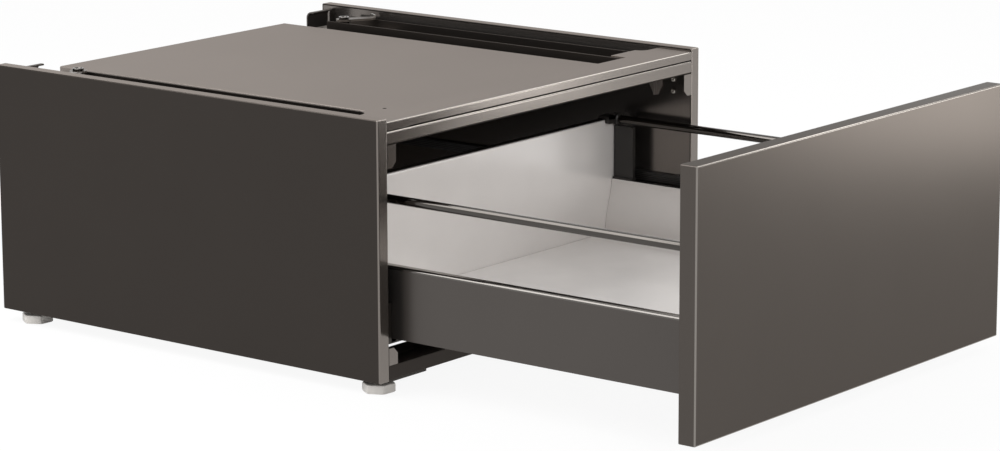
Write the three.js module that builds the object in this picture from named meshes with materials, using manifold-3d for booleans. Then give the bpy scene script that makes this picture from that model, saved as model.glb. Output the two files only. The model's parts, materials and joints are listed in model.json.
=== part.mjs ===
// Washer pedestal with a full-extension drawer, modelled as a three.js scene graph.
// Units are millimetres, +X to the right, the drawer opens towards -Y, +Z up, floor at z = 0.
// Everything is drawn from the cabinet's front plane (y = 0) and then shifted as one group, so
// that the origin lies at the bottom centre of the pedestal as it stands, drawer pulled out.

import * as THREE from 'three';
import { mergeVertices } from 'three/addons/utils/BufferGeometryUtils.js';
import Module from 'manifold-3d';

const wasm = await Module();
wasm.setup();

// ---------------------------------------------------------------- driving dimensions

const GAP = 0.3; // clearance left between pieces that touch

// cabinet shell
const CABINET_WIDTH = 595;
const CABINET_DEPTH = 582;
const PANEL_HEIGHT = 292;
const PANEL_THICK = 15.5; // folded side panel, measured at its front flange
const PANEL_SHEET = 1.5;
const LINER_SHEET = 1.2;
const FOOT_HEIGHT = 14.5; // floor to the underside of the side panels
const EDGE_RADIUS = 1.5;

// deck, front trim and crossbar
const DECK_DROP = 14.4; // side panel top to deck top
const DECK_SHEET = 1.5;
const DECK_REAR_INSET = 7; // deck rear edge to the cabinet's rear plane
const CROSSBAR_HEIGHT = 15;
const CROSSBAR_RETURN = 9; // depth of the upper crossbar's lower flange
const BEND_RADIUS = 2.5; // outside radius of the folds
const TRIM_HEIGHT = 9.4;
const TRIM_GAP = 1.3; // shadow line between crossbar and trim
const TRIM_DEPTH = 40;
const TRIM_SHEET = 1.5;
const TRIM_TAB_DEPTH = 62;
const TRIM_TAB_INNER = 93; // tab edges, from the cabinet's outer face
const TRIM_TAB_OUTER = 45;
const TRIM_SIDE_DEPTH = 50;
const TRIM_HOLE = 4.5; // diameter
const TRIM_HOLE_FROM_SIDE = 76;
const TRIM_HOLE_INSET = 8; // hole's centre to the tab's rear edge

// guide channels beside the deck
const CHANNEL_REACH = 97; // outer face of the cabinet to the deck's edge
const CHANNEL_OUTER = 26; // outer face to the outer upstand
const CHANNEL_INNER = 71; // outer face to the inner upstand
const CHANNEL_TOP_ABOVE_DECK = 4.4;
const CHANNEL_DEPTH = 13.5;
const CHANNEL_SHEET = 1.5;
const CHANNEL_REAR_INSET = 57; // channel's rear end to the cabinet's rear plane
const CHANNEL_FLANGE = 14;

// corner gussets and bottom crossbar
const GUSSET_WIDTH = 14.5;
const GUSSET_CHAMFER = 6.5;
const TOP_GUSSET_DROP = 26;
const GUSSET_SHEET = 1.5;
const GUSSET_RETURN = 20;
const BOTTOM_BAR_HEIGHT = 16;
const BOTTOM_BAR_DEPTH = 57;
const BOTTOM_BAR_SHEET = 1.5;
const BOTTOM_BAR_STEP = 8;
const BOTTOM_BAR_RISE = 1.6; // underside of the bar above the underside of the side panels
const BOTTOM_GUSSET_TOP = 37; // above the underside of the side panels
const FOOT_PLATE_LENGTH = 68;
const FOOT_PLATE_THICK = 2.5;

// rear
const REAR_SHEET = 1.2;
const REAR_PANEL_INSET = 12;
const REAR_PANEL_DROP = 16.1; // deck top to the rear panel's top
const REAR_PANEL_FLANGE = 10;
const HOOK_WIDTH = 39.5;
const HOOK_INNER = 57.5; // outer face of the cabinet to the hook's inner edge
const HOOK_TOP_BELOW_PANEL = 4.5;
const HOOK_SHEET = 2;
const HOOK_RADIUS = 8;
const HOOK_DROP = 42;

// hold-down latch at the rear end of each channel
const LATCH_PLATE_LENGTH = 92;
const LATCH_PLATE_THICK = 2;
const LATCH_PLATE_REAR_INSET = 34; // plate's rear edge to the cabinet's rear plane
const LATCH_BOLT_FROM_SIDE = 60; // bolt axis from the outer face of the cabinet
const LATCH_BOLT_FROM_REAR = 75;
const LATCH_BOLT_RADIUS = 4;
const LATCH_HEAD_RADIUS = 6.8;
const LATCH_HEAD_THICK = 2.6;
const LATCH_ARM_LENGTH = 40;
const LATCH_ARM_WIDTH = 15;
const LATCH_ARM_THICK = 2.5;
const LATCH_HUB_RADIUS = 10;
const LATCH_GRIP = 6.5; // height of the arm's upturned end
const LATCH_ANGLE = -32; // degrees the arm points ahead of the straight-across line
const SCREW_HEAD_RADIUS = 3.4;
const SCREW_HEAD_THICK = 2;
const SCREW_SHANK_RADIUS = 1.9;
const SCREW_BEHIND_GUSSET = 5.7; // gusset's return to the screws' axes
const SCREW_DROPS = [53.3, 38.9]; // side panel top to the screws' axes
const TAB_FRONT = 42;
const TAB_REAR = 60;
const TAB_BELOW_CHANNEL = 1; // channel's flange to the tab's top
const TAB_STRAIGHT = 12; // height of the tab above its tapered end
const TAB_TAPER = 9.5;

// adjustable feet
const FOOT_FROM_SIDE = 22.5; // outer face of the cabinet to the foot's axis
const FOOT_FRONT_Y = 21;
const FOOT_FROM_REAR = 34;
const FOOT_PAD_RADIUS = 19;
const FOOT_PAD_HEIGHT = 10;
const FOOT_NECK_RADIUS = 8; // spanner flats between the pad and the plate
const FOOT_STUD_RADIUS = 4;
const FOOT_STUD_LENGTH = 44;
const FOOT_TURN = -9; // degrees the hexagon is turned as it stands

// drawer
const OPEN_AT_REST = 394.7;
const CLOSED_GAP = 3; // drawer front to the side panels' front plane when shut
const FRONT_WIDTH = 595;
const FRONT_HEIGHT = 292;
const FRONT_THICK = 21;
const FRONT_RAISE = 1.2; // underside of the front above the underside of the side panels
const FRONT_SHEET = 1.2;
const SIDE_CLEARANCE = 12.5; // side panel liner to the drawer side
const SIDE_BOTTOM = 60;
const SIDE_TOP = 141;
const SIDE_TOP_WIDTH = 12;
const SIDE_BOTTOM_WIDTH = 24;
const SIDE_SHEET = 1.2;
const SIDE_SHELF = 10;
const DRAWER_REAR_SPACE = 87.3; // drawer's back panel to the cabinet's rear plane, drawer shut
const FLOOR_TOP = 75.8;
const FLOOR_THICK = 12;
const FLOOR_SHEET = 1.2;
const BACK_TOP = 214.5;
const BACK_THICK = 12;
const BACK_SHEET = 1.2;
const BACK_END_INSET = 6; // ends of the back inside the sides' outer faces
const RAIL_FROM_SIDE = 34; // outer face of the cabinet to the rail's axis
const RAIL_HEIGHT = 214;
const RAIL_RADIUS = 5;
const POST_WIDTH = 28;
const POST_THICK = 5;
const POST_SET_BACK = 1;
const CLIP_LENGTH = 9;
const CLIP_RADIUS = 7.6;
const SOCKET_RADIUS = 8;
const SOCKET_LENGTH = 14;

// runners
const RUNNER_REAR_SPACE = 96; // runner's rear end to the cabinet's rear plane
const RUNNER_FRONT = 6;
const RUNNER_SHEET = 1.5;
const RUNNER_WEB_Z = 54.5; // underside of the bracket web
const RUNNER_BRACKET_TOP = 100;
const RUNNER_RAIL_FROM_SIDE = 35.2; // outer face of the cabinet to the rail
const RUNNER_RAIL_WIDTH = 12;
const RUNNER_RAIL_HEIGHT = 12;
const RUNNER_CLEAR = 0.5;
const RUNNER_MIDDLE_HEIGHT = 23;
const RUNNER_CAP = 11.4; // width of the rounded front cap
const RUNNER_CAP_LENGTH = 8;
const GUIDE_STRIP_THICK = 6;
const GUIDE_STRIP_Z = [140, 151];
const GUIDE_STRIP_SET_BACK = 4; // strip's front end behind the runner's
const GUIDE_STRIP_SHORTER = 10; // than the runner

// ---------------------------------------------------------------- worked-out places

const HALF = CABINET_WIDTH / 2;
const INNER = HALF - PANEL_THICK; // inner face of the side panels
const PANEL_TOP = FOOT_HEIGHT + PANEL_HEIGHT;
const DECK_TOP = PANEL_TOP - DECK_DROP;
const DECK_REAR = CABINET_DEPTH - DECK_REAR_INSET;
const DECK_HALF = HALF - CHANNEL_REACH;
const TRIM_BOTTOM = DECK_TOP + TRIM_GAP;
const TRIM_TOP = TRIM_BOTTOM + TRIM_HEIGHT;
const CROSSBAR_BOTTOM = DECK_TOP - CROSSBAR_HEIGHT;
const CROSSBAR_DEPTH = TRIM_DEPTH; // the trim covers the crossbar
const DECK_FRONT = CROSSBAR_DEPTH + GAP;
const CHANNEL_TOP = DECK_TOP + CHANNEL_TOP_ABOVE_DECK;
const CHANNEL_FLOOR = CHANNEL_TOP - CHANNEL_DEPTH; // upper face of the channel's floor
const CHANNEL_REAR = CABINET_DEPTH - CHANNEL_REAR_INSET;
const LATCH_Z = CHANNEL_TOP + GAP; // underside of the latch arm
const LATCH_PLATE_REAR = CABINET_DEPTH - LATCH_PLATE_REAR_INSET;
const LATCH_BOLT_X = HALF - LATCH_BOLT_FROM_SIDE;
const LATCH_BOLT_Y = CABINET_DEPTH - LATCH_BOLT_FROM_REAR;
const REAR_PANEL_TOP = DECK_TOP - REAR_PANEL_DROP;
const SCREW_Y = GUSSET_RETURN + SCREW_BEHIND_GUSSET;
const SCREW_HEIGHTS = SCREW_DROPS.map((drop) => PANEL_TOP - drop);
const TAB_TOP = CHANNEL_FLOOR - CHANNEL_FLANGE - TAB_BELOW_CHANNEL;
const TAB_SHOULDER = TAB_TOP - TAB_STRAIGHT;
const TAB_BOTTOM = TAB_SHOULDER - TAB_TAPER;
const FOOT_X = HALF - FOOT_FROM_SIDE;
const FOOT_REAR_Y = CABINET_DEPTH - FOOT_FROM_REAR;
const BAR_BOTTOM = FOOT_HEIGHT + BOTTOM_BAR_RISE;
const BAR_TOP = BAR_BOTTOM + BOTTOM_BAR_HEIGHT;
const PLATE_TOP = BAR_BOTTOM - GAP; // upper face of the foot plates
const PLATE_BOTTOM = PLATE_TOP - FOOT_PLATE_THICK;
const SIDE_OUTER = INNER - SIDE_CLEARANCE; // outer face of the drawer side
const FRONT_BOTTOM = FOOT_HEIGHT + FRONT_RAISE;
const FRONT_BACK_Y = -CLOSED_GAP; // rear face of the drawer front, drawer shut
const BACK_Y = CABINET_DEPTH - DRAWER_REAR_SPACE; // front face of the drawer back, drawer shut
const RAIL_X = HALF - RAIL_FROM_SIDE;
const RUNNER_LENGTH = CABINET_DEPTH - RUNNER_FRONT - RUNNER_REAR_SPACE;
const RUNNER_RAIL_X = HALF - RUNNER_RAIL_FROM_SIDE;
const RUNNER_RAIL_Z = RUNNER_WEB_Z + RUNNER_SHEET;
const RUNNER_INSIDE = RUNNER_RAIL_Z + RUNNER_SHEET + 2 * RUNNER_CLEAR + RUNNER_MIDDLE_HEIGHT;
const RUNNER_TOP = RUNNER_INSIDE + RUNNER_SHEET; // upper face of the drawer member
const ORIGIN_Y = (CABINET_DEPTH - OPEN_AT_REST - CLOSED_GAP - FRONT_THICK) / 2;

// ---------------------------------------------------------------- materials

function finish(color, roughness, metalness) {
  return new THREE.MeshStandardMaterial({ color, roughness, metalness });
}

const LACQUER = () => finish(0x77706a, 0.3, 0.6);
const LACQUER_LIGHT = () => finish(0x958e86, 0.3, 0.6);
const DARK_STEEL = () => finish(0x3a3733, 0.35, 0.7);
const BRIGHT_STEEL = () => finish(0xb5b1ab, 0.25, 0.9);
const PALE_COAT = () => finish(0xc9c6c2, 0.4, 0.1);
const DARK_PLASTIC = () => finish(0x24221f, 0.5, 0.0);
const PALE_PLASTIC = () => finish(0xb3afa9, 0.5, 0.0);

// ---------------------------------------------------------------- geometry helpers

// A closed surface as a solid that can be cut and joined.
function toSolid(geometry) {
  const bare = geometry.clone();
  bare.deleteAttribute('normal');
  bare.deleteAttribute('uv');
  const merged = mergeVertices(bare, 1e-4);
  const vertProperties = merged.attributes.position.array;
  const triVerts = new Uint32Array(merged.index.array);
  return new wasm.Manifold(new wasm.Mesh({ numProp: 3, vertProperties, triVerts }));
}

// The solid's surface as flat-shaded triangles.
function toGeometry(solid) {
  const mesh = solid.getMesh();
  const geometry = new THREE.BufferGeometry();
  const positions = new Float32Array(mesh.vertProperties);
  geometry.setAttribute('position', new THREE.BufferAttribute(positions, 3));
  geometry.setIndex(Array.from(mesh.triVerts));
  const flat = geometry.toNonIndexed();
  flat.computeVertexNormals();
  return flat;
}

function join(...geometries) {
  return toGeometry(geometries.map(toSolid).reduce((sum, next) => sum.add(next)));
}

function cut(geometry, ...tools) {
  return toGeometry(tools.map(toSolid).reduce((rest, tool) => rest.subtract(tool), toSolid(geometry)));
}

// A box between two corners.
function slab([x0, x1], [y0, y1], [z0, z1]) {
  const box = new THREE.BoxGeometry(x1 - x0, y1 - y0, z1 - z0);
  return box.translate((x0 + x1) / 2, (y0 + y1) / 2, (z0 + z1) / 2);
}

function outline(points, holes = []) {
  const shape = new THREE.Shape(points.map(([a, b]) => new THREE.Vector2(a, b)));
  shape.holes = holes;
  return shape;
}

function extrude(shape, depth) {
  return new THREE.ExtrudeGeometry(shape, { depth, bevelEnabled: false, curveSegments: 8 });
}

// A profile of [y, z] points carried along X.
function alongX(points, x0, x1) {
  const basis = new THREE.Matrix4().makeBasis(
    new THREE.Vector3(0, 1, 0),
    new THREE.Vector3(0, 0, 1),
    new THREE.Vector3(1, 0, 0),
  );
  return extrude(outline(points), x1 - x0).applyMatrix4(basis).translate(x0, 0, 0);
}

// A profile of [x, z] points carried along Y.
function alongY(points, y0, y1) {
  const basis = new THREE.Matrix4().makeBasis(
    new THREE.Vector3(1, 0, 0),
    new THREE.Vector3(0, 0, 1),
    new THREE.Vector3(0, -1, 0),
  );
  return extrude(outline(points), y1 - y0).applyMatrix4(basis).translate(0, y1, 0);
}

// An outline of [x, y] points raised along Z.
function alongZ(points, z0, z1, holes = []) {
  return extrude(outline(points, holes), z1 - z0).translate(0, 0, z0);
}

function roundHole(x, y, radius) {
  return new THREE.Path().absarc(x, y, radius, 0, 2 * Math.PI, true);
}

// A bent sheet: the open path is one face of the sheet, the other lies `sheet` to its left.
function bentSheet(path, sheet) {
  const points = path.map(([a, b]) => new THREE.Vector2(a, b));
  const normals = points.slice(1).map((p, i) => {
    const along = p.clone().sub(points[i]).normalize();
    return new THREE.Vector2(-along.y, along.x);
  });
  const inner = points.map((p, i) => {
    const before = normals[Math.max(i - 1, 0)];
    const after = normals[Math.min(i, normals.length - 1)];
    const mitre = before.clone().add(after);
    return p.clone().addScaledVector(mitre, (2 * sheet) / mitre.lengthSq());
  });
  return [...points, ...inner.reverse()].map((p) => [p.x, p.y]);
}

// Points of an arc from one angle to another, in degrees.
function arc(cx, cy, radius, from, to, steps) {
  return Array.from({ length: steps + 1 }, (_, i) => {
    const angle = THREE.MathUtils.degToRad(from + ((to - from) * i) / steps);
    return [cx + radius * Math.cos(angle), cy + radius * Math.sin(angle)];
  });
}

// A rectangle whose four corners are rounded.
function roundedRectangle(x0, x1, y0, y1, radius) {
  return [
    ...arc(x1 - radius, y0 + radius, radius, -90, 0, 3),
    ...arc(x1 - radius, y1 - radius, radius, 0, 90, 3),
    ...arc(x0 + radius, y1 - radius, radius, 90, 180, 3),
    ...arc(x0 + radius, y0 + radius, radius, 180, 270, 3),
  ];
}

// An upright cylinder standing between two heights.
function upright(radius, x, y, z0, z1, sides = 24) {
  const cylinder = new THREE.CylinderGeometry(radius, radius, z1 - z0, sides);
  return cylinder.rotateX(Math.PI / 2).translate(x, y, (z0 + z1) / 2);
}

// A bar that lies along Y.
function lyingY(radius, x, z, y0, y1, sides = 24) {
  const cylinder = new THREE.CylinderGeometry(radius, radius, y1 - y0, sides);
  return cylinder.translate(x, (y0 + y1) / 2, z);
}

// A bar that lies along X.
function lyingX(radius, y, z, x0, x1, sides = 16) {
  const cylinder = new THREE.CylinderGeometry(radius, radius, x1 - x0, sides);
  return cylinder.rotateZ(Math.PI / 2).translate((x0 + x1) / 2, y, z);
}

// The left-hand twin of a right-hand piece.
function mirrored(geometry) {
  const twin = (geometry.index ? geometry.toNonIndexed() : geometry.clone()).scale(-1, 1, 1);
  const position = twin.getAttribute('position');
  const a = new THREE.Vector3();
  const b = new THREE.Vector3();
  for (let i = 0; i < position.count; i += 3) {
    a.fromBufferAttribute(position, i + 1);
    b.fromBufferAttribute(position, i + 2);
    position.setXYZ(i + 1, b.x, b.y, b.z);
    position.setXYZ(i + 2, a.x, a.y, a.z);
  }
  twin.computeVertexNormals();
  return twin;
}

function piece(parent, name, geometry, material) {
  const mesh = new THREE.Mesh(geometry, material);
  mesh.name = name;
  parent.add(mesh);
  return mesh;
}

// A right-hand piece and its left-hand twin.
function pair(parent, name, geometry, material) {
  piece(parent, `${name}_right`, geometry, material());
  piece(parent, `${name}_left`, mirrored(geometry), material());
}

// ---------------------------------------------------------------- cabinet

// Folded pan: outer sheet with four flanges, open towards the inside of the cabinet.
function sidePanel() {
  const block = alongZ(
    roundedRectangle(INNER, HALF, 0, CABINET_DEPTH, EDGE_RADIUS),
    FOOT_HEIGHT,
    PANEL_TOP,
  );
  const cavity = slab(
    [INNER - 5, HALF - PANEL_SHEET],
    [PANEL_SHEET, CABINET_DEPTH - PANEL_SHEET],
    [FOOT_HEIGHT + PANEL_SHEET, PANEL_TOP - PANEL_SHEET],
  );
  return cut(block, cavity);
}

// Flat inner sheet that closes the pan, drilled for the two screws.
function sideLiner() {
  const inset = PANEL_SHEET + GAP;
  const sheet = slab(
    [INNER, INNER + LINER_SHEET],
    [inset, CABINET_DEPTH - inset],
    [FOOT_HEIGHT + inset, PANEL_TOP - inset],
  );
  const holes = SCREW_HEIGHTS.map((z) =>
    lyingX(SCREW_SHANK_RADIUS + GAP, SCREW_Y, z, INNER - 2, INNER + 4));
  return cut(sheet, ...holes);
}

// Deck plate between the guide channels: a shallow pan turned down on all four sides, whose
// side edges stand on the channels' ledges.
function deckPlate() {
  const block = slab(
    [-DECK_HALF, DECK_HALF],
    [DECK_FRONT, DECK_REAR],
    [CHANNEL_FLOOR + GAP, DECK_TOP],
  );
  const hollow = slab(
    [-DECK_HALF + DECK_SHEET, DECK_HALF - DECK_SHEET],
    [DECK_FRONT + DECK_SHEET, DECK_REAR - DECK_SHEET],
    [CHANNEL_FLOOR - 5, DECK_TOP - DECK_SHEET],
  );
  return cut(block, hollow);
}

// Upper crossbar: a folded channel from side to side under the trim, open at its back.
function topCrossbar() {
  const wide = INNER - GAP;
  const bend = arc(BEND_RADIUS, DECK_TOP - BEND_RADIUS, BEND_RADIUS, 90, 180, 4);
  const path = [
    [CROSSBAR_DEPTH, CHANNEL_FLOOR + GAP],
    [CROSSBAR_DEPTH, DECK_TOP],
    ...bend,
    [0, CROSSBAR_BOTTOM],
    [CROSSBAR_RETURN, CROSSBAR_BOTTOM],
  ];
  return alongX(bentSheet(path, DECK_SHEET), -wide, wide);
}

// Front trim: a shallow folded strip on the upper crossbar, with a tab over each channel's end.
function frontTrim() {
  const wide = INNER - GAP;
  const tabIn = HALF - TRIM_TAB_INNER;
  const tabOut = HALF - TRIM_TAB_OUTER;
  const rounding = TRIM_TAB_DEPTH - TRIM_SIDE_DEPTH;
  const right = [
    [wide, TRIM_SHEET],
    [wide, TRIM_SIDE_DEPTH],
    ...arc(tabOut + rounding, TRIM_TAB_DEPTH, rounding, 270, 180, 5),
    [tabIn, TRIM_TAB_DEPTH],
    [tabIn, TRIM_DEPTH],
  ];
  const left = right.map(([x, y]) => [-x, y]).reverse();
  const holeX = TRIM_HOLE_FROM_SIDE - HALF;
  const hole = roundHole(holeX, TRIM_TAB_DEPTH - TRIM_HOLE_INSET, TRIM_HOLE / 2);
  const plate = alongZ([...right, ...left], TRIM_TOP - TRIM_SHEET, TRIM_TOP, [hole]);
  const bend = arc(EDGE_RADIUS, TRIM_TOP - EDGE_RADIUS, EDGE_RADIUS, 180, 90, 4).reverse();
  const face = alongX(
    [
      [0, TRIM_BOTTOM],
      [TRIM_SHEET, TRIM_BOTTOM],
      [TRIM_SHEET, TRIM_TOP - TRIM_SHEET],
      [TRIM_SHEET + 3, TRIM_TOP - TRIM_SHEET],
      [TRIM_SHEET + 3, TRIM_TOP],
      ...bend,
    ],
    -wide,
    wide,
  );
  const rearLip = slab(
    [-DECK_HALF + 4, DECK_HALF - 4],
    [TRIM_DEPTH - TRIM_SHEET, TRIM_DEPTH],
    [DECK_TOP + GAP, TRIM_TOP],
  );
  return join(plate, face, rearLip);
}

// Guide channel between deck and side panel: a floor that also carries the deck's side lip,
// two upstands, and a flange down the liner.
function guideChannel() {
  const wall = INNER - GAP;
  const floor = CHANNEL_FLOOR;
  const under = floor - CHANNEL_SHEET;
  const outer = HALF - CHANNEL_OUTER;
  const inner = HALF - CHANNEL_INNER;
  const ledge = DECK_HALF - DECK_SHEET - 1;
  const profile = [
    [ledge, under],
    [wall - CHANNEL_SHEET, under],
    [wall - CHANNEL_SHEET, floor - CHANNEL_FLANGE],
    [wall, floor - CHANNEL_FLANGE],
    [wall, floor],
    [outer + CHANNEL_SHEET, floor],
    [outer + CHANNEL_SHEET, CHANNEL_TOP],
    [outer, CHANNEL_TOP],
    [outer, floor],
    [inner, floor],
    [inner, CHANNEL_TOP],
    [inner - CHANNEL_SHEET, CHANNEL_TOP],
    [inner - CHANNEL_SHEET, floor],
    [ledge, floor],
  ];
  return alongY(profile, CROSSBAR_DEPTH + GAP, CHANNEL_REAR);
}

// Corner gusset: a chamfered plate in the front plane with a return along the liner.
function gusset(z0, z1, chamferAtTop) {
  const out = INNER - GAP;
  const inn = out - GUSSET_WIDTH;
  const c = GUSSET_CHAMFER;
  const plan = chamferAtTop
    ? [[out, z0], [out, z1], [inn + c, z1], [inn, z1 - c], [inn, z0]]
    : [[out, z0], [out, z1], [inn, z1], [inn, z0 + c], [inn + c, z0]];
  const plate = alongY(plan, 0, GUSSET_SHEET);
  const fold = slab([out - GUSSET_SHEET, out], [0, GUSSET_RETURN], [z0 + 0.5, z1]);
  return join(plate, fold);
}

// Holes that let the feet's studs through a plate or crossbar at this depth.
function studHoles(y, sides = [-1, 1]) {
  return sides.map((side) =>
    upright(FOOT_STUD_RADIUS + GAP, side * FOOT_X, y, 0, BAR_TOP, 16));
}

// Lower crossbar: a wide stepped channel, open upwards.
function bottomCrossbar() {
  const wide = INNER - GAP;
  const path = [
    [0, BAR_TOP],
    [0, BAR_BOTTOM],
    [BOTTOM_BAR_DEPTH / 2, BAR_BOTTOM],
    [BOTTOM_BAR_DEPTH / 2, BAR_BOTTOM + BOTTOM_BAR_STEP / 2],
    [BOTTOM_BAR_DEPTH, BAR_BOTTOM + BOTTOM_BAR_STEP / 2],
    [BOTTOM_BAR_DEPTH, BAR_TOP],
  ];
  return cut(alongX(bentSheet(path, BOTTOM_BAR_SHEET), -wide, wide), ...studHoles(FOOT_FRONT_Y));
}

// Rear crossbar: the same section, shallower, at the back of the cabinet.
function rearCrossbar() {
  const wide = INNER - GAP;
  const y1 = CABINET_DEPTH - REAR_PANEL_INSET - REAR_SHEET - GAP;
  const y0 = y1 - BOTTOM_BAR_DEPTH / 2;
  const path = [
    [y0, BAR_TOP],
    [y0, BAR_BOTTOM],
    [y1, BAR_BOTTOM],
    [y1, BAR_TOP],
  ];
  return cut(alongX(bentSheet(path, BOTTOM_BAR_SHEET), -wide, wide), ...studHoles(FOOT_REAR_Y));
}

// Plate under each end of a crossbar, tapped for the foot's stud.
function footPlate(y) {
  const half = FOOT_PAD_RADIUS;
  const plan = roundedRectangle(INNER - FOOT_PLATE_LENGTH, INNER - GAP, y - half, y + half, 3);
  const plate = alongZ(plan, PLATE_BOTTOM, PLATE_TOP);
  return cut(plate, ...studHoles(y, [1]));
}

// Rear panel: a sheet with its top and side edges turned forward.
function rearPanel() {
  const wide = INNER - GAP;
  const y1 = CABINET_DEPTH - REAR_PANEL_INSET;
  const sheet = slab([-wide, wide], [y1 - REAR_SHEET, y1], [FOOT_HEIGHT + 2, REAR_PANEL_TOP]);
  const top = slab(
    [-wide, wide],
    [y1 - REAR_PANEL_FLANGE, y1],
    [REAR_PANEL_TOP - REAR_SHEET, REAR_PANEL_TOP],
  );
  const sides = [-1, 1].map((side) => slab(
    side < 0 ? [-wide, -wide + REAR_SHEET] : [wide - REAR_SHEET, wide],
    [y1 - REAR_PANEL_FLANGE, y1],
    [BAR_TOP + 4, REAR_PANEL_TOP],
  ));
  return join(sheet, top, ...sides);
}

// Rear hook: a bent plate behind the channel whose top rolls forward.
function rearHook() {
  const x1 = HALF - HOOK_INNER + HOOK_WIDTH;
  const x0 = HALF - HOOK_INNER;
  const top = PANEL_TOP - HOOK_TOP_BELOW_PANEL;
  const y = CABINET_DEPTH - REAR_PANEL_INSET + GAP + HOOK_SHEET;
  const centre = y - HOOK_RADIUS;
  const path = [
    [y, top - HOOK_DROP],
    ...arc(centre, top - HOOK_RADIUS, HOOK_RADIUS, 0, 90, 6),
    [centre - 4, top],
  ];
  return alongX(bentSheet(path, HOOK_SHEET), x0, x1);
}

// Latch plate on the channel floor, with a hole for the bolt.
function latchPlate() {
  const x0 = HALF - CHANNEL_INNER + GAP;
  const x1 = HALF - CHANNEL_OUTER - GAP;
  const plan = roundedRectangle(x0, x1, LATCH_PLATE_REAR - LATCH_PLATE_LENGTH, LATCH_PLATE_REAR, 5);
  const z0 = CHANNEL_FLOOR + GAP;
  const hole = roundHole(LATCH_BOLT_X, LATCH_BOLT_Y, LATCH_BOLT_RADIUS + GAP);
  return alongZ(plan, z0, z0 + LATCH_PLATE_THICK, [hole]);
}

// Shouldered bolt: flange on the latch plate, shank through the arm, flat ring head.
function latchBolt() {
  const plateTop = CHANNEL_FLOOR + GAP + LATCH_PLATE_THICK;
  const armBottom = LATCH_Z;
  const headBottom = armBottom + LATCH_ARM_THICK + GAP;
  const profile = [
    [0, CHANNEL_FLOOR + GAP],
    [LATCH_BOLT_RADIUS, CHANNEL_FLOOR + GAP],
    [LATCH_BOLT_RADIUS, plateTop + GAP],
    [LATCH_HEAD_RADIUS, plateTop + GAP],
    [LATCH_HEAD_RADIUS, armBottom - GAP],
    [LATCH_BOLT_RADIUS, armBottom - GAP],
    [LATCH_BOLT_RADIUS, headBottom],
    [LATCH_HEAD_RADIUS, headBottom],
    [LATCH_HEAD_RADIUS, headBottom + LATCH_HEAD_THICK],
    [LATCH_HEAD_RADIUS - 2, headBottom + LATCH_HEAD_THICK],
    [LATCH_HEAD_RADIUS - 3, headBottom + LATCH_HEAD_THICK - 1.4],
    [0, headBottom + LATCH_HEAD_THICK - 1.4],
  ].map(([r, z]) => new THREE.Vector2(r, z));
  const turned = new THREE.LatheGeometry(profile, 24).rotateX(Math.PI / 2);
  return turned.translate(LATCH_BOLT_X, LATCH_BOLT_Y, 0);
}

// Swinging latch arm: hub on the bolt, flat arm and an upturned grip at its end.
function latchArm() {
  const half = LATCH_ARM_WIDTH / 2;
  const meets = THREE.MathUtils.radToDeg(Math.asin(half / LATCH_HUB_RADIUS));
  const hub = arc(0, 0, LATCH_HUB_RADIUS, meets, 360 - meets, 14);
  const plan = [...hub, [LATCH_ARM_LENGTH, -half], [LATCH_ARM_LENGTH, half]];
  const plate = alongZ(plan, 0, LATCH_ARM_THICK, [roundHole(0, 0, LATCH_BOLT_RADIUS + GAP)]);
  const grip = slab(
    [LATCH_ARM_LENGTH - LATCH_ARM_THICK, LATCH_ARM_LENGTH],
    [-half, half],
    [0, LATCH_GRIP],
  );
  return join(plate, grip);
}

// Tapered stop tab on the liner, with an upright rib down its middle.
function stopTab() {
  const x1 = INNER - GAP;
  const mid = (TAB_FRONT + TAB_REAR) / 2;
  const plan = [
    [TAB_FRONT, TAB_TOP],
    [TAB_FRONT, TAB_SHOULDER],
    [mid - 3, TAB_BOTTOM],
    [mid + 3, TAB_BOTTOM],
    [TAB_REAR, TAB_SHOULDER],
    [TAB_REAR, TAB_TOP],
  ];
  const plate = alongX(plan, x1 - 2, x1);
  const rib = slab([x1 - 6, x1 - 1], [mid - 1.5, mid + 1.5], [TAB_BOTTOM, TAB_TOP]);
  return join(plate, rib);
}

// Pan-head screw through the liner.
function screw(z) {
  const head = INNER - GAP;
  const cap = lyingX(SCREW_HEAD_RADIUS, SCREW_Y, z, head - SCREW_HEAD_THICK, head, 20);
  const shank = lyingX(SCREW_SHANK_RADIUS, SCREW_Y, z, head - 0.5, INNER + LINER_SHEET + 3, 12);
  const slot = slab([head - 3, head - 1.2], [SCREW_Y - 2.4, SCREW_Y + 2.4], [z - 0.6, z + 0.6]);
  const cross = slab([head - 3, head - 1.2], [SCREW_Y - 0.6, SCREW_Y + 0.6], [z - 2.4, z + 2.4]);
  return cut(join(cap, shank), slot, cross);
}

// Levelling foot: hexagonal pad, a hexagonal neck that stops under the foot plate, and a stud,
// drawn about its own axis from the floor up.
function foot() {
  const neck = upright(FOOT_NECK_RADIUS, 0, 0, FOOT_PAD_HEIGHT - 1, PLATE_BOTTOM - GAP, 6);
  const pad = new THREE.CylinderGeometry(FOOT_PAD_RADIUS - 1, FOOT_PAD_RADIUS, FOOT_PAD_HEIGHT, 6)
    .rotateX(Math.PI / 2)
    .rotateZ(THREE.MathUtils.degToRad(FOOT_TURN))
    .translate(0, 0, FOOT_PAD_HEIGHT / 2);
  const stud = upright(FOOT_STUD_RADIUS, 0, 0, FOOT_PAD_HEIGHT - 2, FOOT_STUD_LENGTH, 16);
  return join(pad, neck, stud);
}

// ---------------------------------------------------------------- runners

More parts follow.
